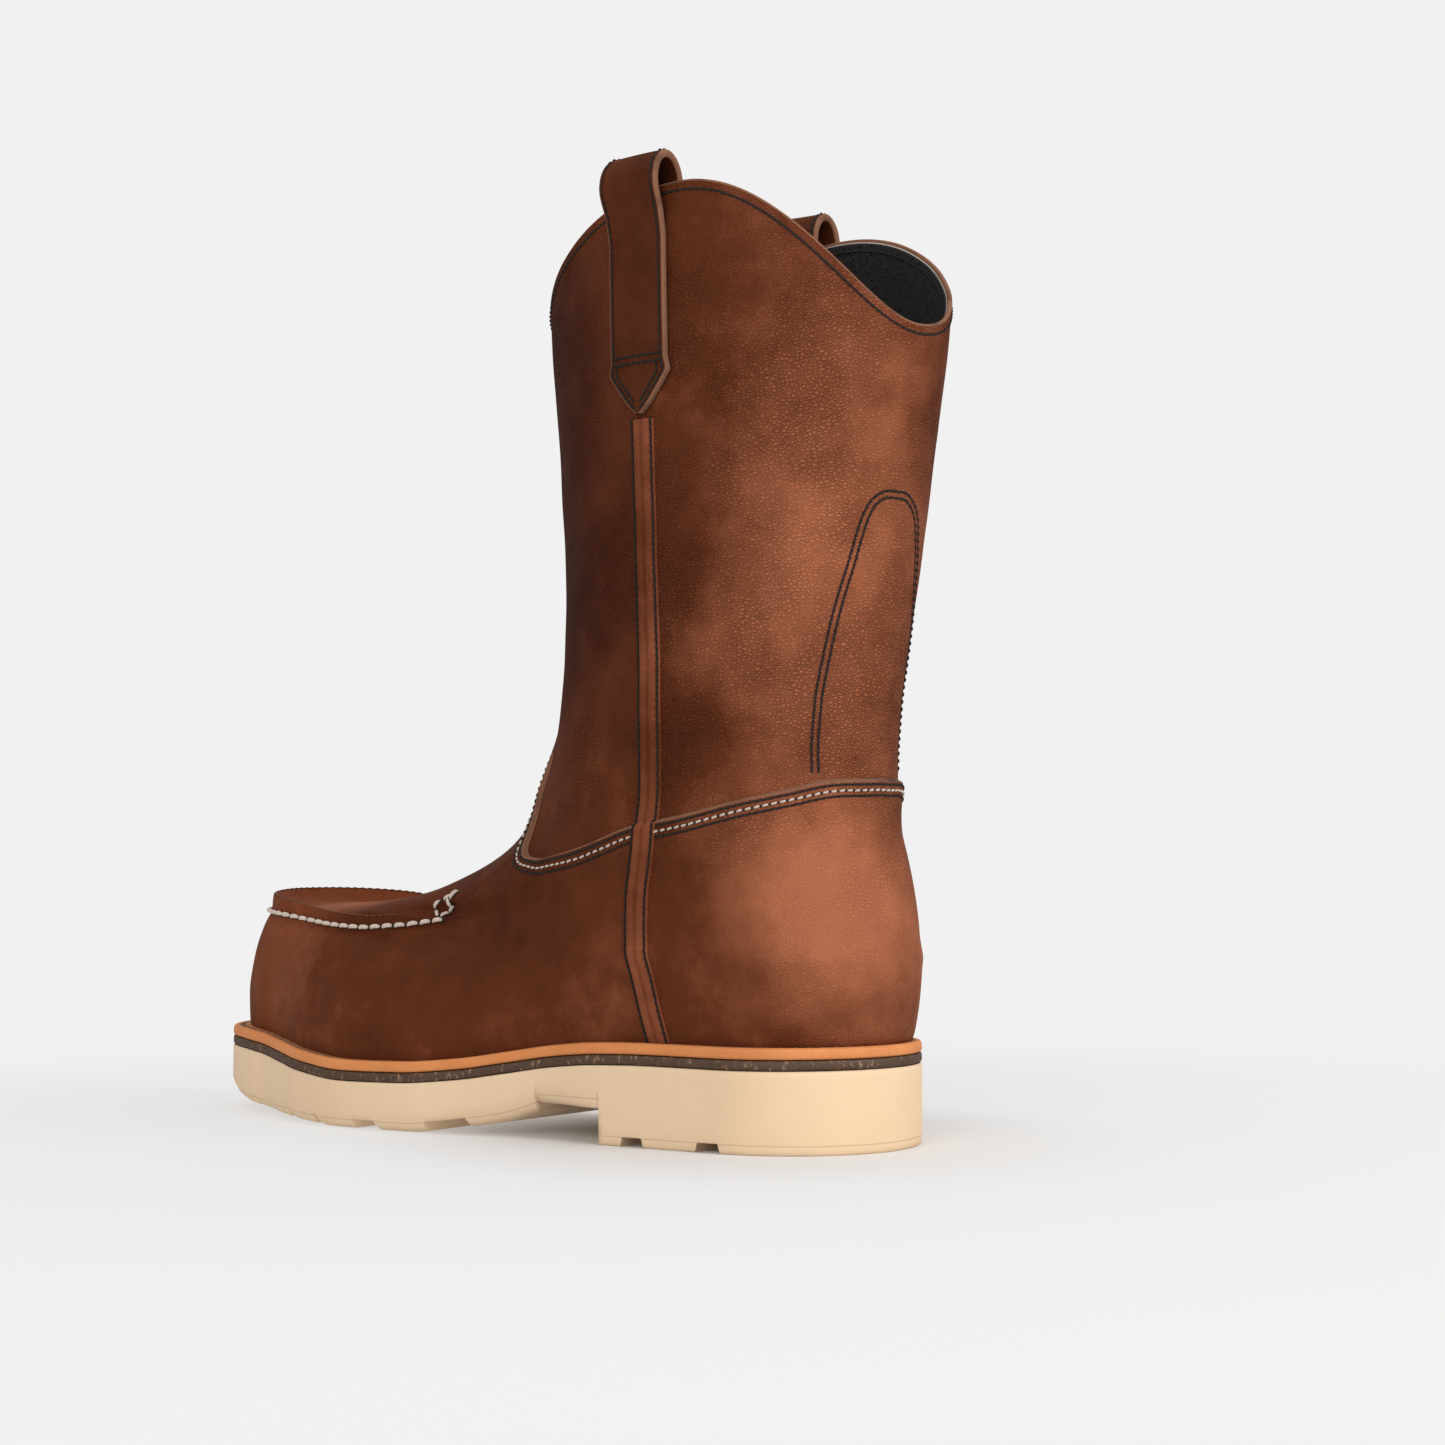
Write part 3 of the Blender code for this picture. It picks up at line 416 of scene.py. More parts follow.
def addPiece(name, mesh, finishes, nodes=()):
    piece = bpy.data.objects.new(name, mesh)
    bpy.context.scene.collection.objects.link(piece)
    for finish in finishes:
        mesh.materials.append(finish)
    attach(piece, "root")
    if nodes:
        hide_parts(*nodes)
    return piece

def noteValue(mesh, name, values):   # a number at each vertex, which a finish may read
    mesh.attributes.new(name, "FLOAT", "POINT").data.foreach_set("value", np.asarray(values, np.float32))

# Shader maths

class Value:   # wraps a socket, so that sums on it add Math nodes
    def __init__(self, finish, socket):
        self.finish, self.socket = finish, socket

    def math(self, operation, *terms):
        return self.finish.node("ShaderNodeMath", {"operation": operation}, dict(enumerate(terms)))

    def __add__(self, other):
        return self.math("ADD", self, other)

    def __sub__(self, other):
        return self.math("SUBTRACT", self, other)

    def __rsub__(self, other):
        return self.math("SUBTRACT", other, self)

    def __mul__(self, other):
        return self.math("MULTIPLY", self, other)

    def __pow__(self, other):
        return self.math("POWER", self, other)

    __radd__, __rmul__ = __add__, __mul__

class Finish:   # one material and the ways of adding nodes to it
    def __init__(self, name, **constants):
        self.material = bpy.data.materials.new(name)
        self.material.use_nodes = True
        self.tree = self.material.node_tree
        self.shader = self.tree.nodes["Principled BSDF"]
        for key, value in constants.items():
            self.shader.inputs[key.replace("_", " ")].default_value = value
        self.place = self.node("ShaderNodeTexCoord", {}, {}, "Object")

    def node(self, kind, settings, sockets, out=0):
        made = self.tree.nodes.new(kind)
        for key, value in settings.items():
            if key == "stops":
                while len(made.color_ramp.elements) < len(value):
                    made.color_ramp.elements.new(0.5)
                for element, (position, colour) in zip(made.color_ramp.elements, value):
                    element.position, element.color = position, (*colour, 1.0)
            else:
                setattr(made, key, value)
        for key, value in sockets.items():
            if isinstance(value, Value):
                self.tree.links.new(value.socket, made.inputs[key])
            else:
                made.inputs[key].default_value = value
        return Value(self, made.outputs[out])

    def noise(self, scale, detail=3.0, rough=0.5, at=None):
        return self.node("ShaderNodeTexNoise", {}, {"Vector": at or self.place, "Scale": scale,
                                                    "Detail": detail, "Roughness": rough})

    def stretched(self, scale, at=None):
        return self.node("ShaderNodeVectorMath", {"operation": "MULTIPLY"}, {0: at or self.place, 1: scale})

    def warped(self, amount, scale, at=None):
        drift = self.node("ShaderNodeTexNoise", {}, {"Vector": at or self.place, "Scale": scale}, "Color")
        return self.node("ShaderNodeVectorMath", {"operation": "MULTIPLY_ADD"},
                         {0: drift, 1: (amount,) * 3, 2: at or self.place})

    def cells(self, scale, feature="DISTANCE_TO_EDGE", at=None):
        return self.node("ShaderNodeTexVoronoi", {"feature": feature},
                         {"Vector": at or self.place, "Scale": scale}, "Distance")

    def band(self, value, low, high, start=0.0, end=1.0):
        return self.node("ShaderNodeMapRange", {"interpolation_type": "SMOOTHSTEP"},
                         {"Value": value, "From Min": low, "From Max": high, "To Min": start,
                          "To Max": end})

    def spot(self, centre, radius, at=None):   # 1 at the centre, 0 from the radius on
        away = self.node("ShaderNodeVectorMath", {"operation": "DISTANCE"},
                         {0: at or self.place, 1: centre}, "Value")
        return self.band(away, radius, 0.0)

    def blend(self, share, low, high, how="MIX"):
        colours = [value if isinstance(value, Value) else (*value, 1.0) for value in (low, high)]
        return self.node("ShaderNodeMix", {"data_type": "RGBA", "blend_type": how},
                         {0: share, 6: colours[0], 7: colours[1]}, 2)

    def axis(self, letter):
        return self.node("ShaderNodeSeparateXYZ", {}, {0: self.place}, letter)

    def noted(self, name):
        return self.node("ShaderNodeAttribute", {"attribute_name": name}, {}, "Fac")

    def bump(self, height, depth, normal=None):
        sockets = {"Height": height, "Distance": depth, "Strength": 1.0}
        if normal:
            sockets["Normal"] = normal
        return self.node("ShaderNodeBump", {}, sockets, "Normal")

    def feed(self, **links):
        for key, value in links.items():
            self.tree.links.new(value.socket, self.shader.inputs[key.replace("_", " ")])
        return self.material

print("boot: finishes")

leather = {
    "dark": (0.046, 0.0110, 0.0040), "mid": (0.118, 0.0290, 0.0105), "light": (0.38, 0.125, 0.060),
    "orange": (0.150, 0.0310, 0.0060), "grain": 640.0, "roughness": 0.56, "shine": 0.05,
    # lighter (positive) and darker (negative) places, painted light and painted shade with some of the
    # leather's own uneven tone: x, distance, height, radius, share
    "places": ((0.040, -0.030, 0.075, 0.060, 0.50), (0.010, -0.050, 0.090, 0.065, 0.40),
               (0.040, 0.225, 0.060, 0.060, 0.25), (0.045, 0.120, 0.060, 0.075, -0.15),
               (0.030, 0.080, 0.190, 0.080, -0.55), (0.020, 0.090, 0.270, 0.070, -0.50),
               (0.030, -0.042, 0.165, 0.080, 0.60), (0.030, -0.040, 0.240, 0.070, 0.40),
               (0.035, 0.020, 0.135, 0.035, -0.45), (0.020, -0.085, 0.080, 0.045, 0.30),
               (0.040, 0.010, 0.120, 0.050, 0.15), (-0.010, 0.200, 0.086, 0.060, 0.60),
               (-0.040, -0.030, 0.070, 0.060, 0.45), (-0.045, 0.120, 0.060, 0.075, -0.15)),
}

def leatherFinish(name, tone=0.0, grainShare=1.0):
    values = leather
    finish = Finish(name, Specular_IOR_Level=values["shine"])
    place = finish.warped(0.030, 9.0)
    toneAndPaintedLight = (finish.noise(15.0, 4.0, 0.6, place) - 0.5) * 0.75 + 0.48 + tone
    toneAndPaintedLight = toneAndPaintedLight + (finish.noise(85.0, 5.0, 0.65) - 0.5) * 0.40
    # painted light and painted shade: lighter and darker places added to the leather's tone
    for x, distance, z, radius, share in values["places"]:
        toneAndPaintedLight = toneAndPaintedLight + finish.spot((x, yAt(distance), z), radius) * share * 0.8
    colour = finish.node("ShaderNodeValToRGB", {"stops": [(0.10, values["dark"]), (0.50, values["mid"]),
                                                         (1.0, values["light"])]}, {0: toneAndPaintedLight})
    toe = finish.band(finish.axis("Y"), yAt(0.165), yAt(0.235)) * finish.noise(24.0, 2.0)
    colour = finish.blend(toe * 1.3, colour, values["orange"])
    pebbleAt = finish.warped(0.0011, 420.0, finish.stretched((1.0, 1.0, 1.55)))
    pebble = finish.band(finish.cells(values["grain"], at=pebbleAt), 0.0, 0.30)
    fine = finish.noise(2600.0, 3.0, 0.6)
    upTheLeg = finish.band(finish.axis("Z"), 0.070, 0.135, 0.42, 1.0)
    strong = finish.band(finish.noise(30.0, 2.0), 0.35, 0.65, 0.45, 1.0) * upTheLeg * grainShare
    # crack lines between the pebbles are darkened: the leather's own darker creases, with painted shade in
    # the grain's hollows
    crackle = (1 - pebble) * strong
    colour = finish.blend(crackle * 0.50, colour, values["dark"])
    height = pebble * strong + fine * 0.22 + finish.noise(240.0, 3.0) * 0.5
    gloss = finish.band(finish.noise(60.0, 3.0), 0.2, 0.8, values["roughness"] - 0.07,
                        values["roughness"] + 0.08) + crackle * 0.12
    return finish.feed(Base_Color=colour, Roughness=gloss, Normal=finish.bump(height, 0.00042))

def rawEdgeFinish(name):
    finish = Finish(name)
    fibre = finish.noise(1500.0, 4.0, 0.7)
    colour = finish.blend(fibre, (0.12, 0.045, 0.022), (0.27, 0.12, 0.062))
    colour = finish.blend(finish.band(finish.noise(70.0, 3.0), 0.5, 0.75), colour, (0.060, 0.022, 0.011))
    rough = finish.band(fibre, 0.0, 1.0, 0.80, 0.95)
    return finish.feed(Base_Color=colour, Roughness=rough, Normal=finish.bump(fibre, 0.0002))

def threadFinish(name, colour, shade, roughness=0.62):
    finish = Finish(name, Roughness=roughness, Specular_IOR_Level=0.3)
    # the darker colour in the twist's bands is painted shade between the plies
    twist = finish.node("ShaderNodeTexWave", {"wave_type": "BANDS", "bands_direction": "DIAGONAL"},
                        {"Vector": finish.node("ShaderNodeTexCoord", {}, {}, "UV"), "Scale": 0.9,
                         "Distortion": 0.4}, "Fac")
    return finish.feed(Base_Color=finish.blend(twist, shade, colour), Normal=finish.bump(twist, 0.00012))

def weltFinish():
    finish = Finish("welt_leather", Specular_IOR_Level=0.3)
    fibre = finish.noise(900.0, 4.0, 0.65, finish.stretched((1.0, 1.0, 3.0)))
    colour = finish.blend(finish.noise(50.0, 4.0, 0.6), (0.60, 0.190, 0.050), (0.95, 0.40, 0.140))
    colour = finish.blend(fibre * 0.5, colour, (0.27, 0.080, 0.024))
    # painted shade in the welt's stitch groove
    colour = finish.blend(finish.noted("channel"), colour, (0.10, 0.036, 0.016))
    rough = finish.band(fibre, 0.2, 0.8, 0.48, 0.66)
    return finish.feed(Base_Color=colour, Roughness=rough, Normal=finish.bump(fibre, 0.00018))

def midsoleFinish():
    finish = Finish("dark_rubber")
    fleck = finish.band(finish.noise(620.0, 3.0, 0.7, finish.stretched((1.0, 1.0, 0.6))), 0.56, 0.68)
    colour = finish.blend(finish.noise(80.0), (0.045, 0.022, 0.011), (0.095, 0.048, 0.024))
    colour = finish.blend(fleck * 0.8, colour, (0.30, 0.19, 0.105))
    return finish.feed(Base_Color=colour, Roughness=finish.band(fleck, 0.0, 1.0, 0.60, 0.80),
                       Normal=finish.bump(finish.noise(1400.0, 3.0), 0.00015))

def foamFinish():
    finish = Finish("foam_rubber")
    above = finish.noted("aboveTread")
    lines = finish.node("ShaderNodeMath", {"operation": "SINE"}, {0: finish.axis("Z") * 5200.0})
    lines = lines * finish.band(above, 0.0045, 0.0090) * finish.noise(18.0, 2.0)
    mould = finish.band(finish.node("ShaderNodeMath", {"operation": "ABSOLUTE"}, {0: above - 0.0032}),
                        0.00028, 0.0)
    speck = finish.noise(2200.0, 3.0, 0.7)
    colour = finish.blend(finish.noise(26.0, 4.0, 0.6), (0.74, 0.535, 0.340), (0.82, 0.620, 0.410))
    colour = finish.blend(speck * 0.16, colour, (0.44, 0.30, 0.18))
    colour = finish.blend(mould * 0.22, colour, (0.40, 0.26, 0.15))
    # the side is darker towards its bottom edge, in noisy patches
    darkerLow = finish.band(above, 0.0025, 0.0) * finish.noise(110.0, 4.0, 0.7)
    colour = finish.blend(darkerLow * 0.40, colour, (0.36, 0.26, 0.18))
    height = speck * 0.5 + lines * 0.10 + mould * 1.0
    return finish.feed(Base_Color=colour, Roughness=finish.band(speck, 0.0, 1.0, 0.68, 0.84),
                       Normal=finish.bump(height, 0.00016))

def liningFinish():
    finish = Finish("lining_mesh", Specular_IOR_Level=0.3)
    at = finish.stretched((1.0, 1.0, 0.8))
    holes = finish.band(finish.cells(640.0, "F1", at), 0.22, 0.42)
    knit = finish.noise(2400.0, 2.0)
    colour = finish.blend(holes, (0.002, 0.002, 0.002), (0.012, 0.010, 0.011))
    return finish.feed(Base_Color=colour, Roughness=finish.band(knit, 0.0, 1.0, 0.70, 0.9),
                       Normal=finish.bump(holes + knit * 0.4, 0.0003))

def insoleFinish():
    finish = Finish("insole_board")
    fibre = finish.noise(700.0, 4.0, 0.7)
    colour = finish.blend(fibre, (0.20, 0.125, 0.072), (0.36, 0.245, 0.150))
    return finish.feed(Base_Color=colour, Roughness=finish.band(fibre, 0, 1, 0.8, 0.95),
                       Normal=finish.bump(fibre, 0.0002))

finishes = {
    "leather": leatherFinish("oiled_leather"), "trim": leatherFinish("trim_leather", -0.18, 0.35),
    "rim": leatherFinish("rim_leather", -0.10, 0.2),
    "strip": leatherFinish("strip_leather", 0.16, 0.35), "raw": rawEdgeFinish("raw_edge"),
    "black": threadFinish("black_thread", (0.022, 0.017, 0.015), (0.008, 0.006, 0.005)),
    "white": threadFinish("white_thread", (0.80, 0.70, 0.62), (0.48, 0.36, 0.29)),
    "beige": threadFinish("beige_thread", (0.34, 0.20, 0.12), (0.15, 0.08, 0.045)),
    # needle holes, widened into painted shade round the stitches
    "hole": Finish("painted_shade_needle_hole", Base_Color=(0.012, 0.006, 0.004, 1.0), Roughness=0.9).material,
    "membrane": Finish("membrane", Base_Color=(0.42, 0.38, 0.33, 1.0), Roughness=0.8).material,
    "welt": weltFinish(), "midsole": midsoleFinish(), "foam": foamFinish(),
    "lining": liningFinish(), "insole": insoleFinish(),
}

# Sewing: each kind of stitch is gathered here and becomes one joined mesh at the end

stitches = {   # pitch, length, width and height of one stitch, its slant in degrees
    "black": {"pitch": 0.0025, "length": 0.0019, "width": 0.00090, "height": 0.0006, "slant": 10,
              "rings": 5, "sides": 5},
    "white": {"pitch": 0.0029, "length": 0.0024, "width": 0.00085, "height": 0.0007, "slant": 8,
              "rings": 5, "sides": 6},
    "beige": {"pitch": 0.0030, "length": 0.0024, "width": 0.00060, "height": 0.0003, "slant": 6,
              "rings": 5, "sides": 5},
    "hand": {"pitch": 0.0054, "length": 0.0048, "width": 0.0017, "height": 0.0015, "slant": 5,
             "rings": 9, "sides": 10},
    "box": {"pitch": 0.0034, "length": 0.0040, "width": 0.0014, "height": 0.0012, "slant": 2,
            "rings": 9, "sides": 8},
    "welt": {"pitch": 0.0046, "length": 0.0034, "width": 0.00085, "height": 0.0007, "slant": 6,
             "rings": 5, "sides": 6},
}
sewn = {kind: [] for kind in stitches}
holes = []

def sew(kind, points, normals, closed=False, pitch=None):   # stitches along a path
    stitch = stitches[kind]
    if closed:
        points, normals = np.vstack([points, points[:1]]), np.vstack([normals, normals[:1]])
    run = np.concatenate([[0], np.cumsum(np.linalg.norm(np.diff(points, axis=0), axis=1))])
    count = max(1, int(round(run[-1] / (pitch or stitch["pitch"]))))
    middles = (np.arange(count) + 0.5) * run[-1] / count
    ends = np.arange(count + 1) * run[-1] / count
    at = lambda place, values: np.stack([np.interp(place, run, values[:, k]) for k in range(3)], -1)
    step = run[-1] / count * 0.45
    tangents = unit(at(middles + step, points) - at(middles - step, points))
    centre, normal = at(middles, points), unit(at(middles, normals))
    sewn[kind].append((centre, tangents, normal))
    holes.append((at(ends, points), unit(at(ends, normals)), stitch["width"]))

def threadMesh(kind):
    stitch = stitches[kind]
    centre, tangent, normal = (np.concatenate(parts) for parts in zip(*sewn[kind]))
    normal = unit(normal - tangent * np.sum(normal * tangent, -1, keepdims=True))
    side = np.cross(normal, tangent)
    slant = math.radians(stitch["slant"])
    lean = np.random.default_rng(7).normal(slant, slant * 0.25, len(centre))[:, None]
    straight, across = tangent, side
    tangent = straight * np.cos(lean) + across * np.sin(lean)
    side = across * np.cos(lean) - straight * np.sin(lean)
    ring = np.linspace(-1, 1, stitch["rings"])
    turn = np.linspace(0, 2 * math.pi, stitch["sides"], endpoint=False)
    fat = np.sqrt(np.clip(1 - np.abs(ring) ** 3.2, 0.10, 1))
    rise = stitch["height"] * (0.42 - 0.75 * np.abs(ring) ** 3)
    x = np.repeat(ring * stitch["length"] / 2, len(turn))
    y = np.outer(fat, np.cos(turn)).ravel() * stitch["width"] / 2
    z = (np.outer(fat, np.sin(turn)) * stitch["height"] / 2 + rise[:, None]).ravel()
    points = (centre[:, None] + tangent[:, None] * x[None, :, None] + side[:, None] * y[None, :, None]
              + normal[:, None] * z[None, :, None])
    rows, columns = len(ring), len(turn)
    quads = gridQuads(rows, columns, True)
    every = (np.arange(len(centre)) * rows * columns)[:, None, None]
    faces = [tuple(q) for q in (quads[None] + every).reshape(-1, 4)]
    for first in range(0, len(centre) * rows * columns, rows * columns):
        faces.append(tuple(range(first + columns - 1, first - 1, -1)))
        faces.append(tuple(range(first + (rows - 1) * columns, first + rows * columns)))
    mesh = meshOf(kind + "_stitches", points.reshape(-1, 3), faces)
    u = np.repeat(ring * stitch["length"] / stitch["width"], columns)
    v = np.tile(np.arange(columns) / columns * 2, rows)
    marks = np.tile(np.stack([u, v], -1), (len(centre), 1))
    corner = np.zeros(len(mesh.loops), np.int32)
    mesh.loops.foreach_get("vertex_index", corner)
    mesh.uv_layers.new(name="thread").data.foreach_set("uv", marks[corner].astype(np.float32).ravel())
    return mesh

# dark discs at the needle holes, wider than the thread: the holes themselves and painted shade round the
# stitch ends
def holeMesh():
    centre, normal, width = [], [], []
    for points, normals, size in holes:
        centre.append(points), normal.append(normals), width.append(np.full(len(points), size))
    centre, normal, width = np.concatenate(centre), np.concatenate(normal), np.concatenate(width)
    side = unit(np.cross(normal, (0.31, 0.17, 0.93)))
    other = np.cross(normal, side)
    turn = np.linspace(0, 2 * math.pi, 7, endpoint=False)
    radius = (width * 0.62)[:, None, None]
    points = (centre[:, None] + normal[:, None] * 0.00006
              + side[:, None] * np.cos(turn)[None, :, None] * radius
              + other[:, None] * np.sin(turn)[None, :, None] * radius)
    faces = [tuple(range(i, i + 7)) for i in range(0, len(centre) * 7, 7)]
    return meshOf("painted_shade_needle_holes", points.reshape(-1, 3), faces)

print("boot: sole")

def soleSkin(name, loops, caps, flip=False):
    rows, columns = len(loops), len(loops[0])
    quads = [tuple(q) for q in gridQuads(rows, columns, True, flip)]
    half = columns // 2
    for row in caps:
        first = row * columns
        quads.append((first, first + 1, first + columns - 1))
        quads += [(first + i, first + i + 1, first + columns - i - 1, first + columns - i)
                  for i in range(1, half - 1)]
        quads.append((first + half - 1, first + half, first + half + 1))
    return meshOf(name, np.concatenate(loops), quads)

outsoleWall = {
    # share of sideRound above the tread, share of the tuck
    "rounding": ((0.06, 0.82), (0.18, 0.60), (0.33, 0.42), (0.5, 0.30), (0.75, 0.10), (1.0, 0.0)),
    "rows": (0.35, 0.70, 0.94), "topRound": 0.0005,
}

def buildOutsole():
    wall = outsoleWall
    forefoot = lambda d: smoothStep(last["heelBreast"], along(treadLine[0][0]), d)
    tuck = lambda share: (lambda d: share * (sole["heelTuck"] + (sole["treadTuck"] - sole["heelTuck"])
                                             * forefoot(d)) + (0.0003 if share == 1.0 else 0.0))
    rise = lambda share: (lambda d: tread(d) + share * sole["sideRound"])
    upTo = lambda share: (lambda d: tread(d) + sole["sideRound"]
                          + share * (outsoleTop(d) - 0.0008 - tread(d) - sole["sideRound"]))
    loops = [soleLoop(tuck(1.0), underside, True)]
    for share, tucked in wall["rounding"]:
        floor = lambda d, s=share: np.maximum(rise(s)(d), underside(d) + 0.00002 * (1 + s))
        loops.append(soleLoop(tuck(tucked), floor, True))
    loops += [soleLoop(0.0, upTo(share), True) for share in wall["rows"]]
    loops.append(soleLoop(0.0, lambda d: outsoleTop(d) - wall["topRound"], True))
    loops.append(soleLoop(wall["topRound"], outsoleTop, True))
    mesh = soleSkin("outsole_dressed", loops, (0, len(loops) - 1), True)
    points = np.concatenate(loops)
    noteValue(mesh, "aboveTread", points[:, 2] - tread(last["originDistance"] - points[:, 1]))
    addPiece("outsole_dressed", mesh, [finishes["foam"]], ["outsole"])

def hoopSkin(name, profile, low, high, finish, nodes, note=None):
    # profile rows: inset from the sole's edge, share of the height from low to high
    loops = [soleLoop(inset, lambda d, s=share: low(d) + s * (high(d) - low(d)), False)
             for inset, share in profile]
    rows, columns = len(loops), len(loops[0])
    mesh = meshOf(name, np.concatenate(loops), gridQuads(rows, columns, True, True))
    if note:
        noteValue(mesh, note[0], np.repeat(note[1], columns))
    return addPiece(name, mesh, [finish], nodes)

welt = {
    # inset, share of the thickness, painted shade in the stitch groove
    "profile": ((0.0150, 0.0, 0), (0.0007, 0.00, 0), (0.0002, 0.09, 0), (0.0, 0.25, 0), (0.0, 0.62, 0),
                (0.0002, 0.82, 0), (0.0006, 0.95, 0), (0.0012, 1.0, 0), (0.0023, 1.01, 0),
                (0.0027, 0.97, 0.5), (0.0030, 0.84, 1), (0.0036, 0.80, 1), (0.0040, 0.86, 1),
                (0.0043, 0.98, 0.6), (0.0050, 1.0, 0.35), (0.0060, 1.0, 0), (0.0150, 1.0, 0)),
    "stitchInset": 0.0034, "stitchShare": 0.86,
}

# Place inward from the sole's side, share of the layer's height
midsole = {"profile": ((0.020, 0.0), (0.0005, 0.0), (0.0001, 0.12), (0.0, 0.35), (0.0, 0.7),
                       (0.0002, 0.92), (0.0006, 1.0), (0.020, 1.0))}
insole = {"inset": 0.0036, "edge": ((0.0, 0.7), (0.0005, 0.93), (0.0014, 1.0), (0.012, 0.96),
                                    (0.024, 0.88))}

def buildSole():
    buildOutsole()
    hoopSkin("midsole_dressed", midsole["profile"], midsoleBottom, midsoleTop,
             finishes["midsole"], ["midsole"])
    rows = welt["profile"]
    hoopSkin("welt_dressed", [row[:2] for row in rows], weltBottom, weltTop,
             finishes["welt"], ["welt"], ("channel", [row[2] for row in rows]))
    path = soleLoop(welt["stitchInset"], lambda d: weltBottom(d) + welt["stitchShare"]
                    * (weltTop(d) - weltBottom(d)))
    sew("welt", path, np.tile((0.0, 0.0, 1.0), (len(path), 1)), closed=True)
    side = last["featherInset"] + insole["inset"]
    board = lambda d: weltTop(d) + last["gap"]
    top = lambda share: (lambda d: board(d) + share * sole["insoleThickness"])
    loops = [soleLoop(sole["weltBreadth"] + last["gap"], board), soleLoop(side, board)]
    loops += [soleLoop(side + inward, top(share)) for inward, share in insole["edge"]]
    mesh = soleSkin("insole_dressed", loops, (0, len(loops) - 1), True)
    addPiece("insole_dressed", mesh, [finishes["insole"]], ["insole"])

buildSole()

print("boot: upper")

upper = {"wall": 0.0024, "leather": 0.0016, "columns": 420, "rowsBelow": 104, "rowsAbove": 62,
         "rimRows": 9, "insideDrops": (0.004, 0.009, 0.016), "sunk": 0.0006, "sunkTo": 0.5,
         "rawRows": 6}
lining = {"drop": 0.0026, "columns": 240, "rows": 96, "crownRows": 6, "crownRise": 0.0009, "foot": 0.7,
          "clearance": 0.0002, "seamDrop": 0.0022, "seamProud": 0.00015,
          # pale sheet between leather and lining: place inward, height over the lining's crown
          "membrane": ((0.0, -0.001), (0.0, 0.0010), (0.00015, 0.0013), (0.0003, 0.0010), (0.0003, -0.001))}

def buildUpper():
    values = upper
    angles = np.linspace(0, 2 * math.pi, values["columns"], endpoint=False)
    edge = lapHeight(angles)
    edgeLevels = [levelsAt(angles, edge + drop) for drop in lap["rows"]]
    radius = values["leather"] / 2
    collar = collarHeight(angles) - radius
    top = levelsAt(angles, collar)
    levels = [edgeLevels[0] * share for share in np.linspace(0, 1, values["rowsBelow"])]
    levels += edgeLevels[1:]
    levels += [edgeLevels[-1] + (top - edgeLevels[-1]) * share
               for share in np.linspace(0, 1, values["rowsAbove"] + 1)[1:]]
    levels = np.array(levels)
    points, normals = dressed(angles[None, :], levels)
    points[..., 2] -= values["sunk"] * (1 - smoothStep(0, values["sunkTo"], levels))
    up = unit(slopes(angles, top)[1])
    rows = [points]
    for turn in np.linspace(0, math.pi, values["rimRows"])[1:]:
        rows.append((points[-1] + normals[-1] * radius * (math.cos(turn) - 1)
                     + up * radius * math.sin(turn))[None])
    for drop in values["insideDrops"]:
        low = levelsAt(angles, collar - drop)
        rows.append((dressed(angles, low)[0] - outward(angles, low) * values["leather"])[None])
    grid = np.concatenate(rows)
    count, columns = grid.shape[:2]
    materials = np.zeros((count - 1, columns), int)
    first = values["rowsBelow"] + 2
    materials[first:first + values["rawRows"]] = 1
    crown = len(levels)
    materials[crown - 1:crown + values["rimRows"]] = 1
    mesh = meshOf("upper_leather", grid.reshape(-1, 3), gridQuads(count, columns, True), materials.ravel())
    addPiece("upper_leather", mesh, [finishes["leather"], finishes["raw"]], ["upper"])

def buildLining():
    values = lining
    leatherWall, wall = upper["leather"], upper["wall"]
    angles = np.linspace(0, 2 * math.pi, values["columns"], endpoint=False)
    collar = collarHeight(angles) - values["drop"]
    top = levelsAt(angles, collar)
    up = unit(slopes(angles, top)[1])
    crown, out = dressed(angles, top)
    rows = []
    thick = wall - leatherWall
    for turn in np.linspace(0, math.pi, values["crownRows"]):
        inset = leatherWall + thick / 2 * (1 - math.cos(turn))
        rows.append(crown - out * inset + up * values["crownRise"] * math.sin(turn))
    for share in np.linspace(0, 1, values["rows"])[1:]:
        level = top + (values["foot"] - top) * share
        rows.append(shell(angles, level) - outward(angles, level) * (wall + values["clearance"]))
    grid = np.array(rows)
    mesh = meshOf("lining", grid.reshape(-1, 3), gridQuads(len(rows), len(angles), True))
    addPiece("lining", mesh, [finishes["lining"]])
    seam, away = dressed(angles, levelsAt(angles, collar - values["seamDrop"]))
    sew("black", seam - away * (wall + values["seamProud"]), -away, closed=True)
    rows = [crown - out * (leatherWall + inset) + up * height for inset, height in values["membrane"]]
    mesh = meshOf("membrane", np.array(rows).reshape(-1, 3), gridQuads(len(rows), len(angles), True))
    addPiece("membrane", mesh, [finishes["membrane"]])

buildUpper()
buildLining()

def faceSeam(kind, angles, levels, offset=0.0, closed=False, lift=0.0):   # stitches on the upper's face
    if offset:
        angles, levels = facePath(angles, levels, offset)
    points, normals = dressed(angles, levels, lift)
    sew(kind, points, normals, closed)

print("boot: seams")

# Arch of two stitch rows on the back of the shaft: angle and height in millimetres
backStay = (
    (147.5, 123), (146.5, 134), (146.3, 146), (147.2, 160), (148.5, 170), (150.5, 180), (153, 190),
    (155, 199), (157, 206), (160, 210.5), (165, 212.5), (172, 212.5), (178, 210), (182, 206), (185, 199),
    (188, 191), (191.5, 181), (194.5, 171), (196.5, 161), (198, 147), (198.5, 134), (198, 124),
)

# Stitch rows: distance below the lap's edge, below the collar, and inward on the back of the shaft
seamRows = {"lap": (("black", 0.0017), ("white", 0.0036), ("black", 0.0054)), "collar": 0.0034,
            "backStay": (0.0, 0.0022), "steps": 2400, "backStaySteps": 300}

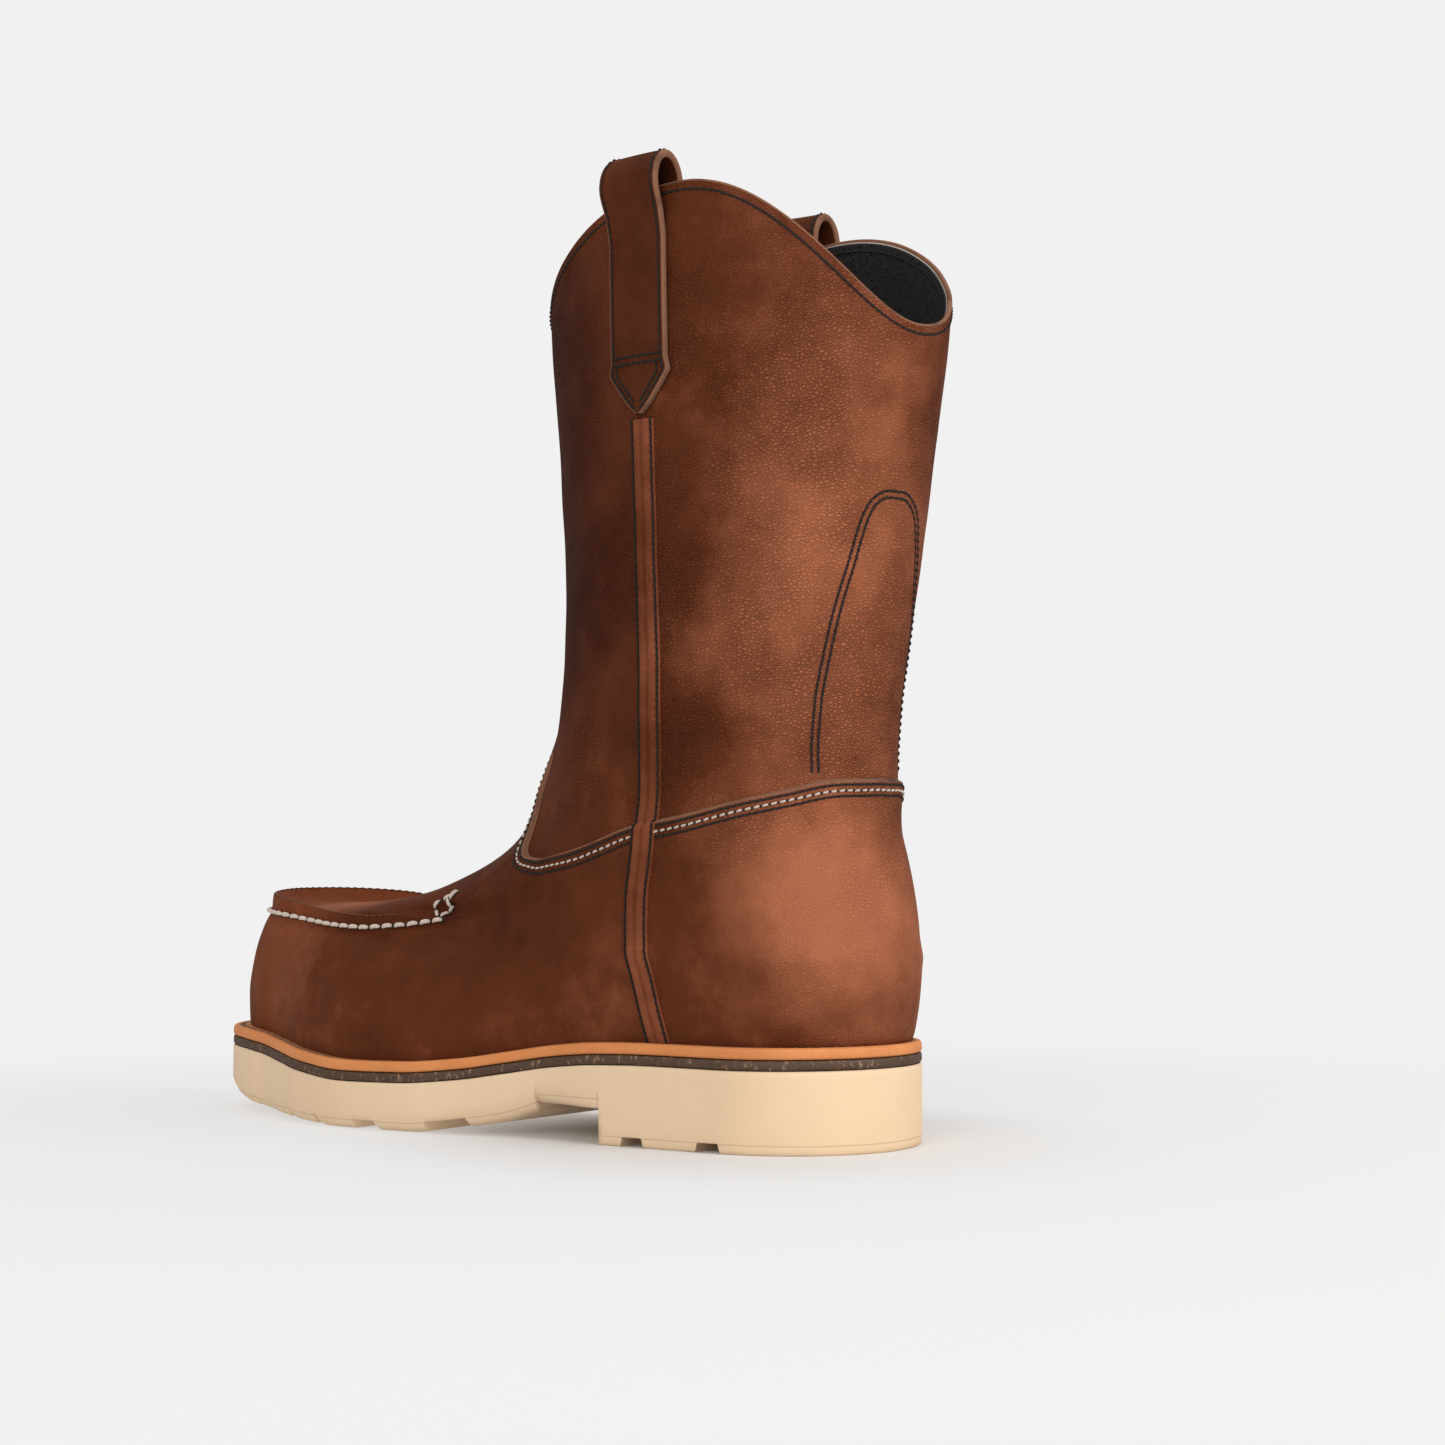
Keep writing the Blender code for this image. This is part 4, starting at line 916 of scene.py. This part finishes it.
def sewUpper():
    angles = np.linspace(0, 2 * math.pi, seamRows["steps"], endpoint=False)
    edge = levelsAt(angles, lapHeight(angles))
    angles = np.append(angles, 2 * math.pi)
    edge = np.append(edge, edge[0])
    for kind, offset in seamRows["lap"]:
        faceSeam(kind, angles, edge, -offset)
    collar = levelsAt(angles, collarHeight(angles))
    faceSeam("black", angles, collar, -seamRows["collar"])
    for inset in seamRows["backStay"]:
        row = np.linspace(0, len(backStay) - 1, seamRows["backStaySteps"])
        table = [(i, math.radians(turn), height / 1000) for i, (turn, height) in enumerate(backStay)]
        around, heights = smoothCurve(table, 1, row), smoothCurve(table, 2, row)
        faceSeam("black", around, levelsAt(around, heights), inset)

sewUpper()

# Side strips: a raised strip of two halves with a groove between them, stitched along both sides

sideLine = ((0.110, 0.231), (0.155, 0.244), (0.205, 0.255), (0.255, 0.254), (0.327, 0.241),
            (0.380, 0.235), (0.760, 0.234))
strip = {
    "top": 0.241, "foot": 0.0346, "stitchAt": 0.0039, "stitchLift": 0.0010, "sunk": 0.0001,
    "from": 0.022, "beyond": 0.004, "guide": 90.0, "rows": 1200, "every": 4, "rounds": 5,
    # place across, height over the face
    "profile": ((-0.0046, 0.0000), (-0.0045, 0.0007), (-0.0041, 0.0009), (-0.0034, 0.0010),
                (-0.0031, 0.0015), (-0.0026, 0.0019), (-0.0012, 0.0019), (-0.0005, 0.0016),
                (-0.0002, 0.0009), (0.0002, 0.0009), (0.0005, 0.0015), (0.0012, 0.0018),
                (0.0026, 0.0018), (0.0031, 0.0014), (0.0034, 0.0010), (0.0041, 0.0009),
                (0.0045, 0.0007), (0.0046, 0.0000)),
}

def angleAt(level, distance, side):
    back, front = smoothCurve(rings, 1, level), smoothCurve(rings, 3, level)
    return side * np.arccos(np.clip((2 * distance - back - front) / (front - back), -1, 1))

def buildStrip(name, side):
    guide = np.full(strip["rows"], side * math.radians(strip["guide"]))
    levels = levelsAt(guide, np.linspace(strip["from"], strip["top"] + strip["beyond"], len(guide)))
    heights = shell(guide, levels)[:, 2]
    for _ in range(strip["rounds"]):   # the strip follows its line by its own height
        middle = along(smoothCurve(sideLine, 1, heights / last["collarPeak"]))
        heights = shell(angleAt(levels, middle, side), levels)[:, 2]
    kept = (heights > strip["foot"]) & (heights < strip["top"])
    levels, middle = levels[kept][::strip["every"]], middle[kept][::strip["every"]]
    grid = []
    for across, lift in strip["profile"]:
        angles = angleAt(levels, middle + across, side)
        grid.append(dressed(angles, levels, lift - strip["sunk"])[0])
    grid = np.array(grid)
    mesh = meshOf(name + "_dressed", grid.reshape(-1, 3),
                  gridQuads(grid.shape[0], grid.shape[1], False, side < 0))
    addPiece(name + "_dressed", mesh, [finishes["strip"]], [name])
    for across in (-strip["stitchAt"], strip["stitchAt"]):
        angles = angleAt(levels, middle + across, side)
        faceSeam("black", angles, levels, lift=strip["stitchLift"])

buildStrip("side_strip_lateral", 1)
buildStrip("side_strip_medial", -1)

print("boot: toe rim")

def buildRim():
    values = rim
    turns = np.linspace(-values["end"], values["end"], values["steps"])
    angles = np.radians(turns)
    levels = smoothCurve(values["line"], 1, np.abs(turns))
    pitch = np.linalg.norm(shell(angles, levels + 1) - shell(angles, levels), axis=-1)
    reach = values["width"] / pitch
    foot = dressed(angles, levels)[0]
    inner = dressed(angles, levels + reach)[0]
    fade = smoothStep(0, values["fade"], values["end"] - np.abs(turns))
    height = smoothCurve(values["heights"], 1, turns) * (
        values["endShare"] + (1 - values["endShare"]) * fade)
    across = inner - foot
    topZ = foot[:, 2] + height
    grid, materials = [], np.zeros((len(values["profile"]) - 1, len(turns) - 1), int)
    for over, up in values["profile"]:
        lean = values["lean"] * max(up, 0) * max(1 - over, 0)
        if over <= 1:
            point = foot + across * (over + lean)
            low = foot[:, 2] + (inner[:, 2] - foot[:, 2]) * over
        else:
            point = dressed(angles, levels + reach * over)[0]
            low = point[:, 2].copy()
        point[:, 2] = low + (topZ - low) * up if up > 0 else low + height * up
        grid.append(point)
    grid = np.array(grid)
    materials[values["plugFrom"]:] = 1
    mesh = meshOf("moc_rim", grid.reshape(-1, 3), gridQuads(grid.shape[0], grid.shape[1], False),
                  materials.ravel())
    addPiece("moc_rim", mesh, [finishes["rim"], finishes["leather"]], ["moc_seam"])
    outer = unit(np.cross(np.gradient(foot, axis=0), (0, 0, 1)) * -1)
    centre = shell(np.array([0.0]), np.array([6.0]))[0]   # a point on the toe plug
    outer = np.where(np.sum(outer * (foot - centre), -1, keepdims=True) > 0, outer, -outer)
    keep = np.abs(turns) < values["end"] - values["handEnd"]
    handPath = foot + outer * values["handOut"] + np.array((0, 0, values["handUp"]))
    sew("hand", handPath[keep], unit(outer + np.array((0, 0, values["handLean"])))[keep])
    keep = np.abs(turns) < values["end"] - values["fineEnd"]
    finePath = grid[values["fineRow"]] + np.array((0, 0, values["fineUp"]))
    sew("beige", finePath[keep], np.tile((0, 0, 1.0), (int(keep.sum()), 1)))

buildRim()

# Box of thick stitches where the rim ends: angle and level of its corners
boxStitch = {"corners": ((70.0, 6.07), (49.0, 8.50), (43.0, 9.25), (62.0, 7.55)), "clear": 0.08,
             "steps": 12, "lift": 0.0004}

def sewBoxes():
    for side in (1, -1):
        corners = np.array(boxStitch["corners"])
        for a, b in zip(corners, np.roll(corners, -1, axis=0)):
            shares = np.linspace(boxStitch["clear"], 1 - boxStitch["clear"], boxStitch["steps"])
            path = a + (b - a) * shares[:, None]
            points, normals = dressed(np.radians(path[:, 0]) * side, path[:, 1], boxStitch["lift"])
            sew("box", points, normals)

sewBoxes()

print("boot: pull straps")

strap = {
    "width": 0.0235, "thickness": 0.0027, "tip": 0.242, "shoulder": 0.256, "inner": 0.272,
    "rise": 0.0085, "station": 0.234, "leave": 0.020, "spread": 0.0045, "halfway": 0.35,
    "angle": 93.0, "seat": 0.0003, "edge": 0.0009, "stitchIn": 0.0019, "stitchLift": 1.03,
    # share of the way from tip to shoulder, share of the half width
    "point": ((0.0, 0.10), (0.18, 0.34), (0.5, 0.66), (0.8, 0.93), (1.0, 1.07)),
    "steps": 190, "faceSteps": 15, "edgeSteps": 6, "edgeFrom": 0.4,
    "outerRows": 150, "pointRows": 90, "pointInset": 0.0021, "pointTop": 0.2592,
    "crossRows": (0.2590, 0.2611),
}

def strapPath():   # distance out from the face, height and half width of the strap's middle
    seat = strap["seat"] + strap["thickness"] / 2
    half = strap["width"] / 2
    rows = [(seat, strap["tip"] + share * (strap["shoulder"] - strap["tip"]), half * width)
            for share, width in strap["point"]]
    peak = last["collarPeak"]
    leave = peak - strap["leave"]
    rows += [(seat, height, half) for height in np.linspace(strap["shoulder"] + 0.004, leave, 14)]
    mid = (leave + peak) / 2
    rows += [(seat + strap["spread"] * strap["halfway"], mid, half)]
    reach = seat + strap["spread"] + upper["wall"] / 2
    rise = strap["rise"] + strap["thickness"] / 2
    for turn in np.linspace(0, math.pi, 21):
        rows.append((reach * math.cos(turn) - upper["wall"] / 2, peak + rise * math.sin(turn), half))
    rows.append((-upper["wall"] - seat - strap["spread"] * strap["halfway"], mid, half))
    rows += [(-upper["wall"] - seat, height, half) for height in np.linspace(leave, strap["inner"], 8)]
    return np.array(rows)

def buildStrap(name, side):
    rows = strapPath()
    run = np.concatenate([[0], np.cumsum(np.linalg.norm(np.diff(rows[:, :2], axis=0), axis=1))])
    at = np.linspace(0, run[-1], strap["steps"])
    path = np.stack([smoothCurve(list(zip(run, rows[:, k])), 1, at) for k in range(3)], -1)
    slope = unit(np.gradient(path[:, :2], axis=0))
    guide = side * math.radians(strap["angle"])
    half, thick = path[:, 2], strap["thickness"] / 2
    edge = strap["edge"]
    across = np.linspace(-1, 1, strap["faceSteps"])
    bends = np.linspace(strap["edgeFrom"], math.pi - strap["edgeFrom"], strap["edgeSteps"])
    loop = [(share, 0.0, 1.0) for share in across]
    loop += [(1.0, edge * math.sin(t), math.cos(t)) for t in bends]
    loop += [(share, 0.0, -1.0) for share in across[::-1]]
    loop += [(-1.0, edge * math.sin(t), -math.cos(t)) for t in bends]

    def place(across, lift):
        offset = path[:, 0] + lift * slope[:, 1] * thick
        z = path[:, 1] - lift * slope[:, 0] * thick
        guides = np.full(len(path), guide)
        levels = levelsAt(guides, np.minimum(z, last["collarPeak"]))
        angles = angleAt(levels, along(strap["station"]) + across, side)
        bare, flat = shell(angles, levels), outward(angles, levels) * (1, 1, 0)
        flat = unit(flat)
        point = bare + flat * offset[:, None]
        point[:, 2] = z
        return point, flat * slope[:, 1:] + np.array((0, 0, -1.0)) * slope[:, :1]

    grid = []
    for share, beyond, lift in loop:
        flatHalf = half - edge
        grid.append(place(share * flatHalf + math.copysign(beyond, share), lift)[0])
    grid = np.array(grid)
    count = len(loop)
    quads = gridQuads(count + 1, grid.shape[1], False, side > 0)
    quads = quads % (count * grid.shape[1])
    materials = np.zeros((count, grid.shape[1] - 1), int)
    for first in (strap["faceSteps"] - 1, 2 * strap["faceSteps"] + strap["edgeSteps"] - 1):
        materials[first:first + strap["edgeSteps"] + 1] = 1
    mesh = meshOf(name + "_dressed", grid.reshape(-1, 3), quads, materials.ravel())
    addPiece(name + "_dressed", mesh, [finishes["trim"], finishes["raw"]], [name])
    order, lift, inset = np.arange(len(half)), strap["stitchLift"], strap["stitchIn"]
    for edgeSide in (-1, 1):
        line, normals = place(edgeSide * (half - inset), lift)
        keep = (half > inset * 1.2) & (order < strap["outerRows"])
        sew("black", line[keep], normals[keep])
        line, normals = place(edgeSide * (half - inset - strap["pointInset"]), lift)
        keep = (half > inset * 2.6) & (path[:, 1] < strap["pointTop"]) & (order < strap["pointRows"])
        sew("black", line[keep], normals[keep])
    for height in strap["crossRows"]:
        row = int(np.argmin(np.abs(path[:60, 1] - height)))
        shares = np.linspace(-1, 1, 24) * (strap["width"] / 2 - inset)
        cross = [place(share, lift) for share in shares]
        sew("black", np.array([c[0][row] for c in cross]), np.array([c[1][row] for c in cross]))

buildStrap("pull_strap_lateral", 1)
buildStrap("pull_strap_medial", -1)

print("boot: thread")

for kind, finish, slot in (("black", "black", "black_thread"), ("white", "white", "white_thread"),
                           ("beige", "beige", "white_thread"), ("hand", "white", "white_thread"),
                           ("box", "white", "white_thread"), ("welt", "beige", "white_thread")):
    addPiece(kind + "_stitches", threadMesh(kind), [finishes[finish]])
addPiece("painted_shade_needle_holes", holeMesh(), [finishes["hole"]])

print("boot: camera, light and floor")

view = {"place": (0.7103, 0.4788, 0.0910), "heading": (-0.82384, -0.56683), "pitch": 0.05912,
        "lens": 2499.55 * 36 / 1445}

def buildCamera():
    data = bpy.data.cameras.new("camera")
    data.sensor_width, data.lens = 36.0, view["lens"]
    camera = bpy.data.objects.new("camera", data)
    bpy.context.scene.collection.objects.link(camera)
    level = math.cos(view["pitch"])
    look = Vector((view["heading"][0] * level, view["heading"][1] * level, math.sin(view["pitch"])))
    camera.location = view["place"]
    camera.rotation_mode = "QUATERNION"
    camera.rotation_quaternion = look.to_track_quat("-Z", "Y")
    data.clip_start, data.clip_end = 0.02, 30.0
    bpy.context.scene.camera = camera

lights = (
    # name, place, aim, size, power, colour
    ("key", (-0.10, 1.55, 0.95), (0.0, 0.0, 0.12), 1.5, 21.0, (1.0, 0.97, 0.93)),
    ("side", (1.45, 0.45, 0.60), (0.0, -0.05, 0.10), 1.2, 11.0, (1.0, 0.98, 0.95)),
    ("top", (0.1, -0.1, 1.9), (0.0, -0.05, 0.1), 1.5, 9.0, (1.0, 1.0, 1.0)),
)

def buildLights():
    for name, place, aim, size, power, colour in lights:
        data = bpy.data.lights.new(name, "AREA")
        data.shape, data.size, data.energy, data.color = "DISK", size, power, colour
        lamp = bpy.data.objects.new(name, data)
        bpy.context.scene.collection.objects.link(lamp)
        lamp.location = place
        lamp.rotation_mode = "QUATERNION"
        lamp.rotation_quaternion = (Vector(aim) - Vector(place)).to_track_quat("-Z", "Y")
    world = bpy.data.worlds.new("studio")
    world.use_nodes = True
    world.node_tree.nodes["Background"].inputs["Color"].default_value = (0.88, 0.88, 0.88, 1.0)
    world.node_tree.nodes["Background"].inputs["Strength"].default_value = 0.44
    bpy.context.scene.world = world
    bpy.context.scene.view_settings.view_transform = "Standard"

floorLook = {"tone": 0.88, "lit": 0.72, "under": 0.05, "beside": 0.15, "near": 0.18, "far": 0.60,
             "share": 0.60, "size": 6.0}

def buildFloor():
    size = floorLook["size"]
    turn = np.linspace(0, math.pi / 2, 16)
    profile = [(-size, 0.0), (size * 0.3, 0.0)]
    profile += [(size * 0.3 + 1.5 * math.sin(t), 1.5 - 1.5 * math.cos(t)) for t in turn[1:]]
    profile.append((size * 0.3 + 1.5, 6.0))
    away = Vector((view["heading"][0], view["heading"][1], 0)).normalized()
    side = Vector((away.y, -away.x, 0))
    points = [tuple(away * run + side * across + Vector((0, 0, z)))
              for run, z in profile for across in (-size, size)]
    faces = [(i, i + 1, i + 3, i + 2) for i in range(0, len(points) - 2, 2)]
    mesh = meshOf("floor", points, faces)
    finish = Finish("pale_floor", Roughness=0.9)
    tone = floorLook["lit"]
    finish.shader.inputs["Base Color"].default_value = (tone, tone, tone, 1.0)
    away = finish.node("ShaderNodeVectorMath", {"operation": "LENGTH"}, {0: finish.place}, "Value")
    glow = finish.node("ShaderNodeEmission", {}, {"Color": (floorLook["tone"],) * 3 + (1.0,)})
    bound = finish.tree.nodes.new("ShaderNodeMixShader")
    share = finish.band(away, floorLook["under"], floorLook["beside"], 0.0, floorLook["share"])
    share = share + finish.band(away, floorLook["near"], floorLook["far"], 0.0, 1 - floorLook["share"])
    finish.tree.links.new(share.socket, bound.inputs[0])
    finish.tree.links.new(finish.shader.outputs[0], bound.inputs[1])
    finish.tree.links.new(glow.socket, bound.inputs[2])
    finish.tree.links.new(bound.outputs[0], finish.tree.nodes["Material Output"].inputs["Surface"])
    mesh.materials.append(finish.material)
    floor = bpy.data.objects.new("floor", mesh)
    bpy.context.scene.collection.objects.link(floor)
    floor.visible_glossy = False

buildCamera()
buildLights()
buildFloor()
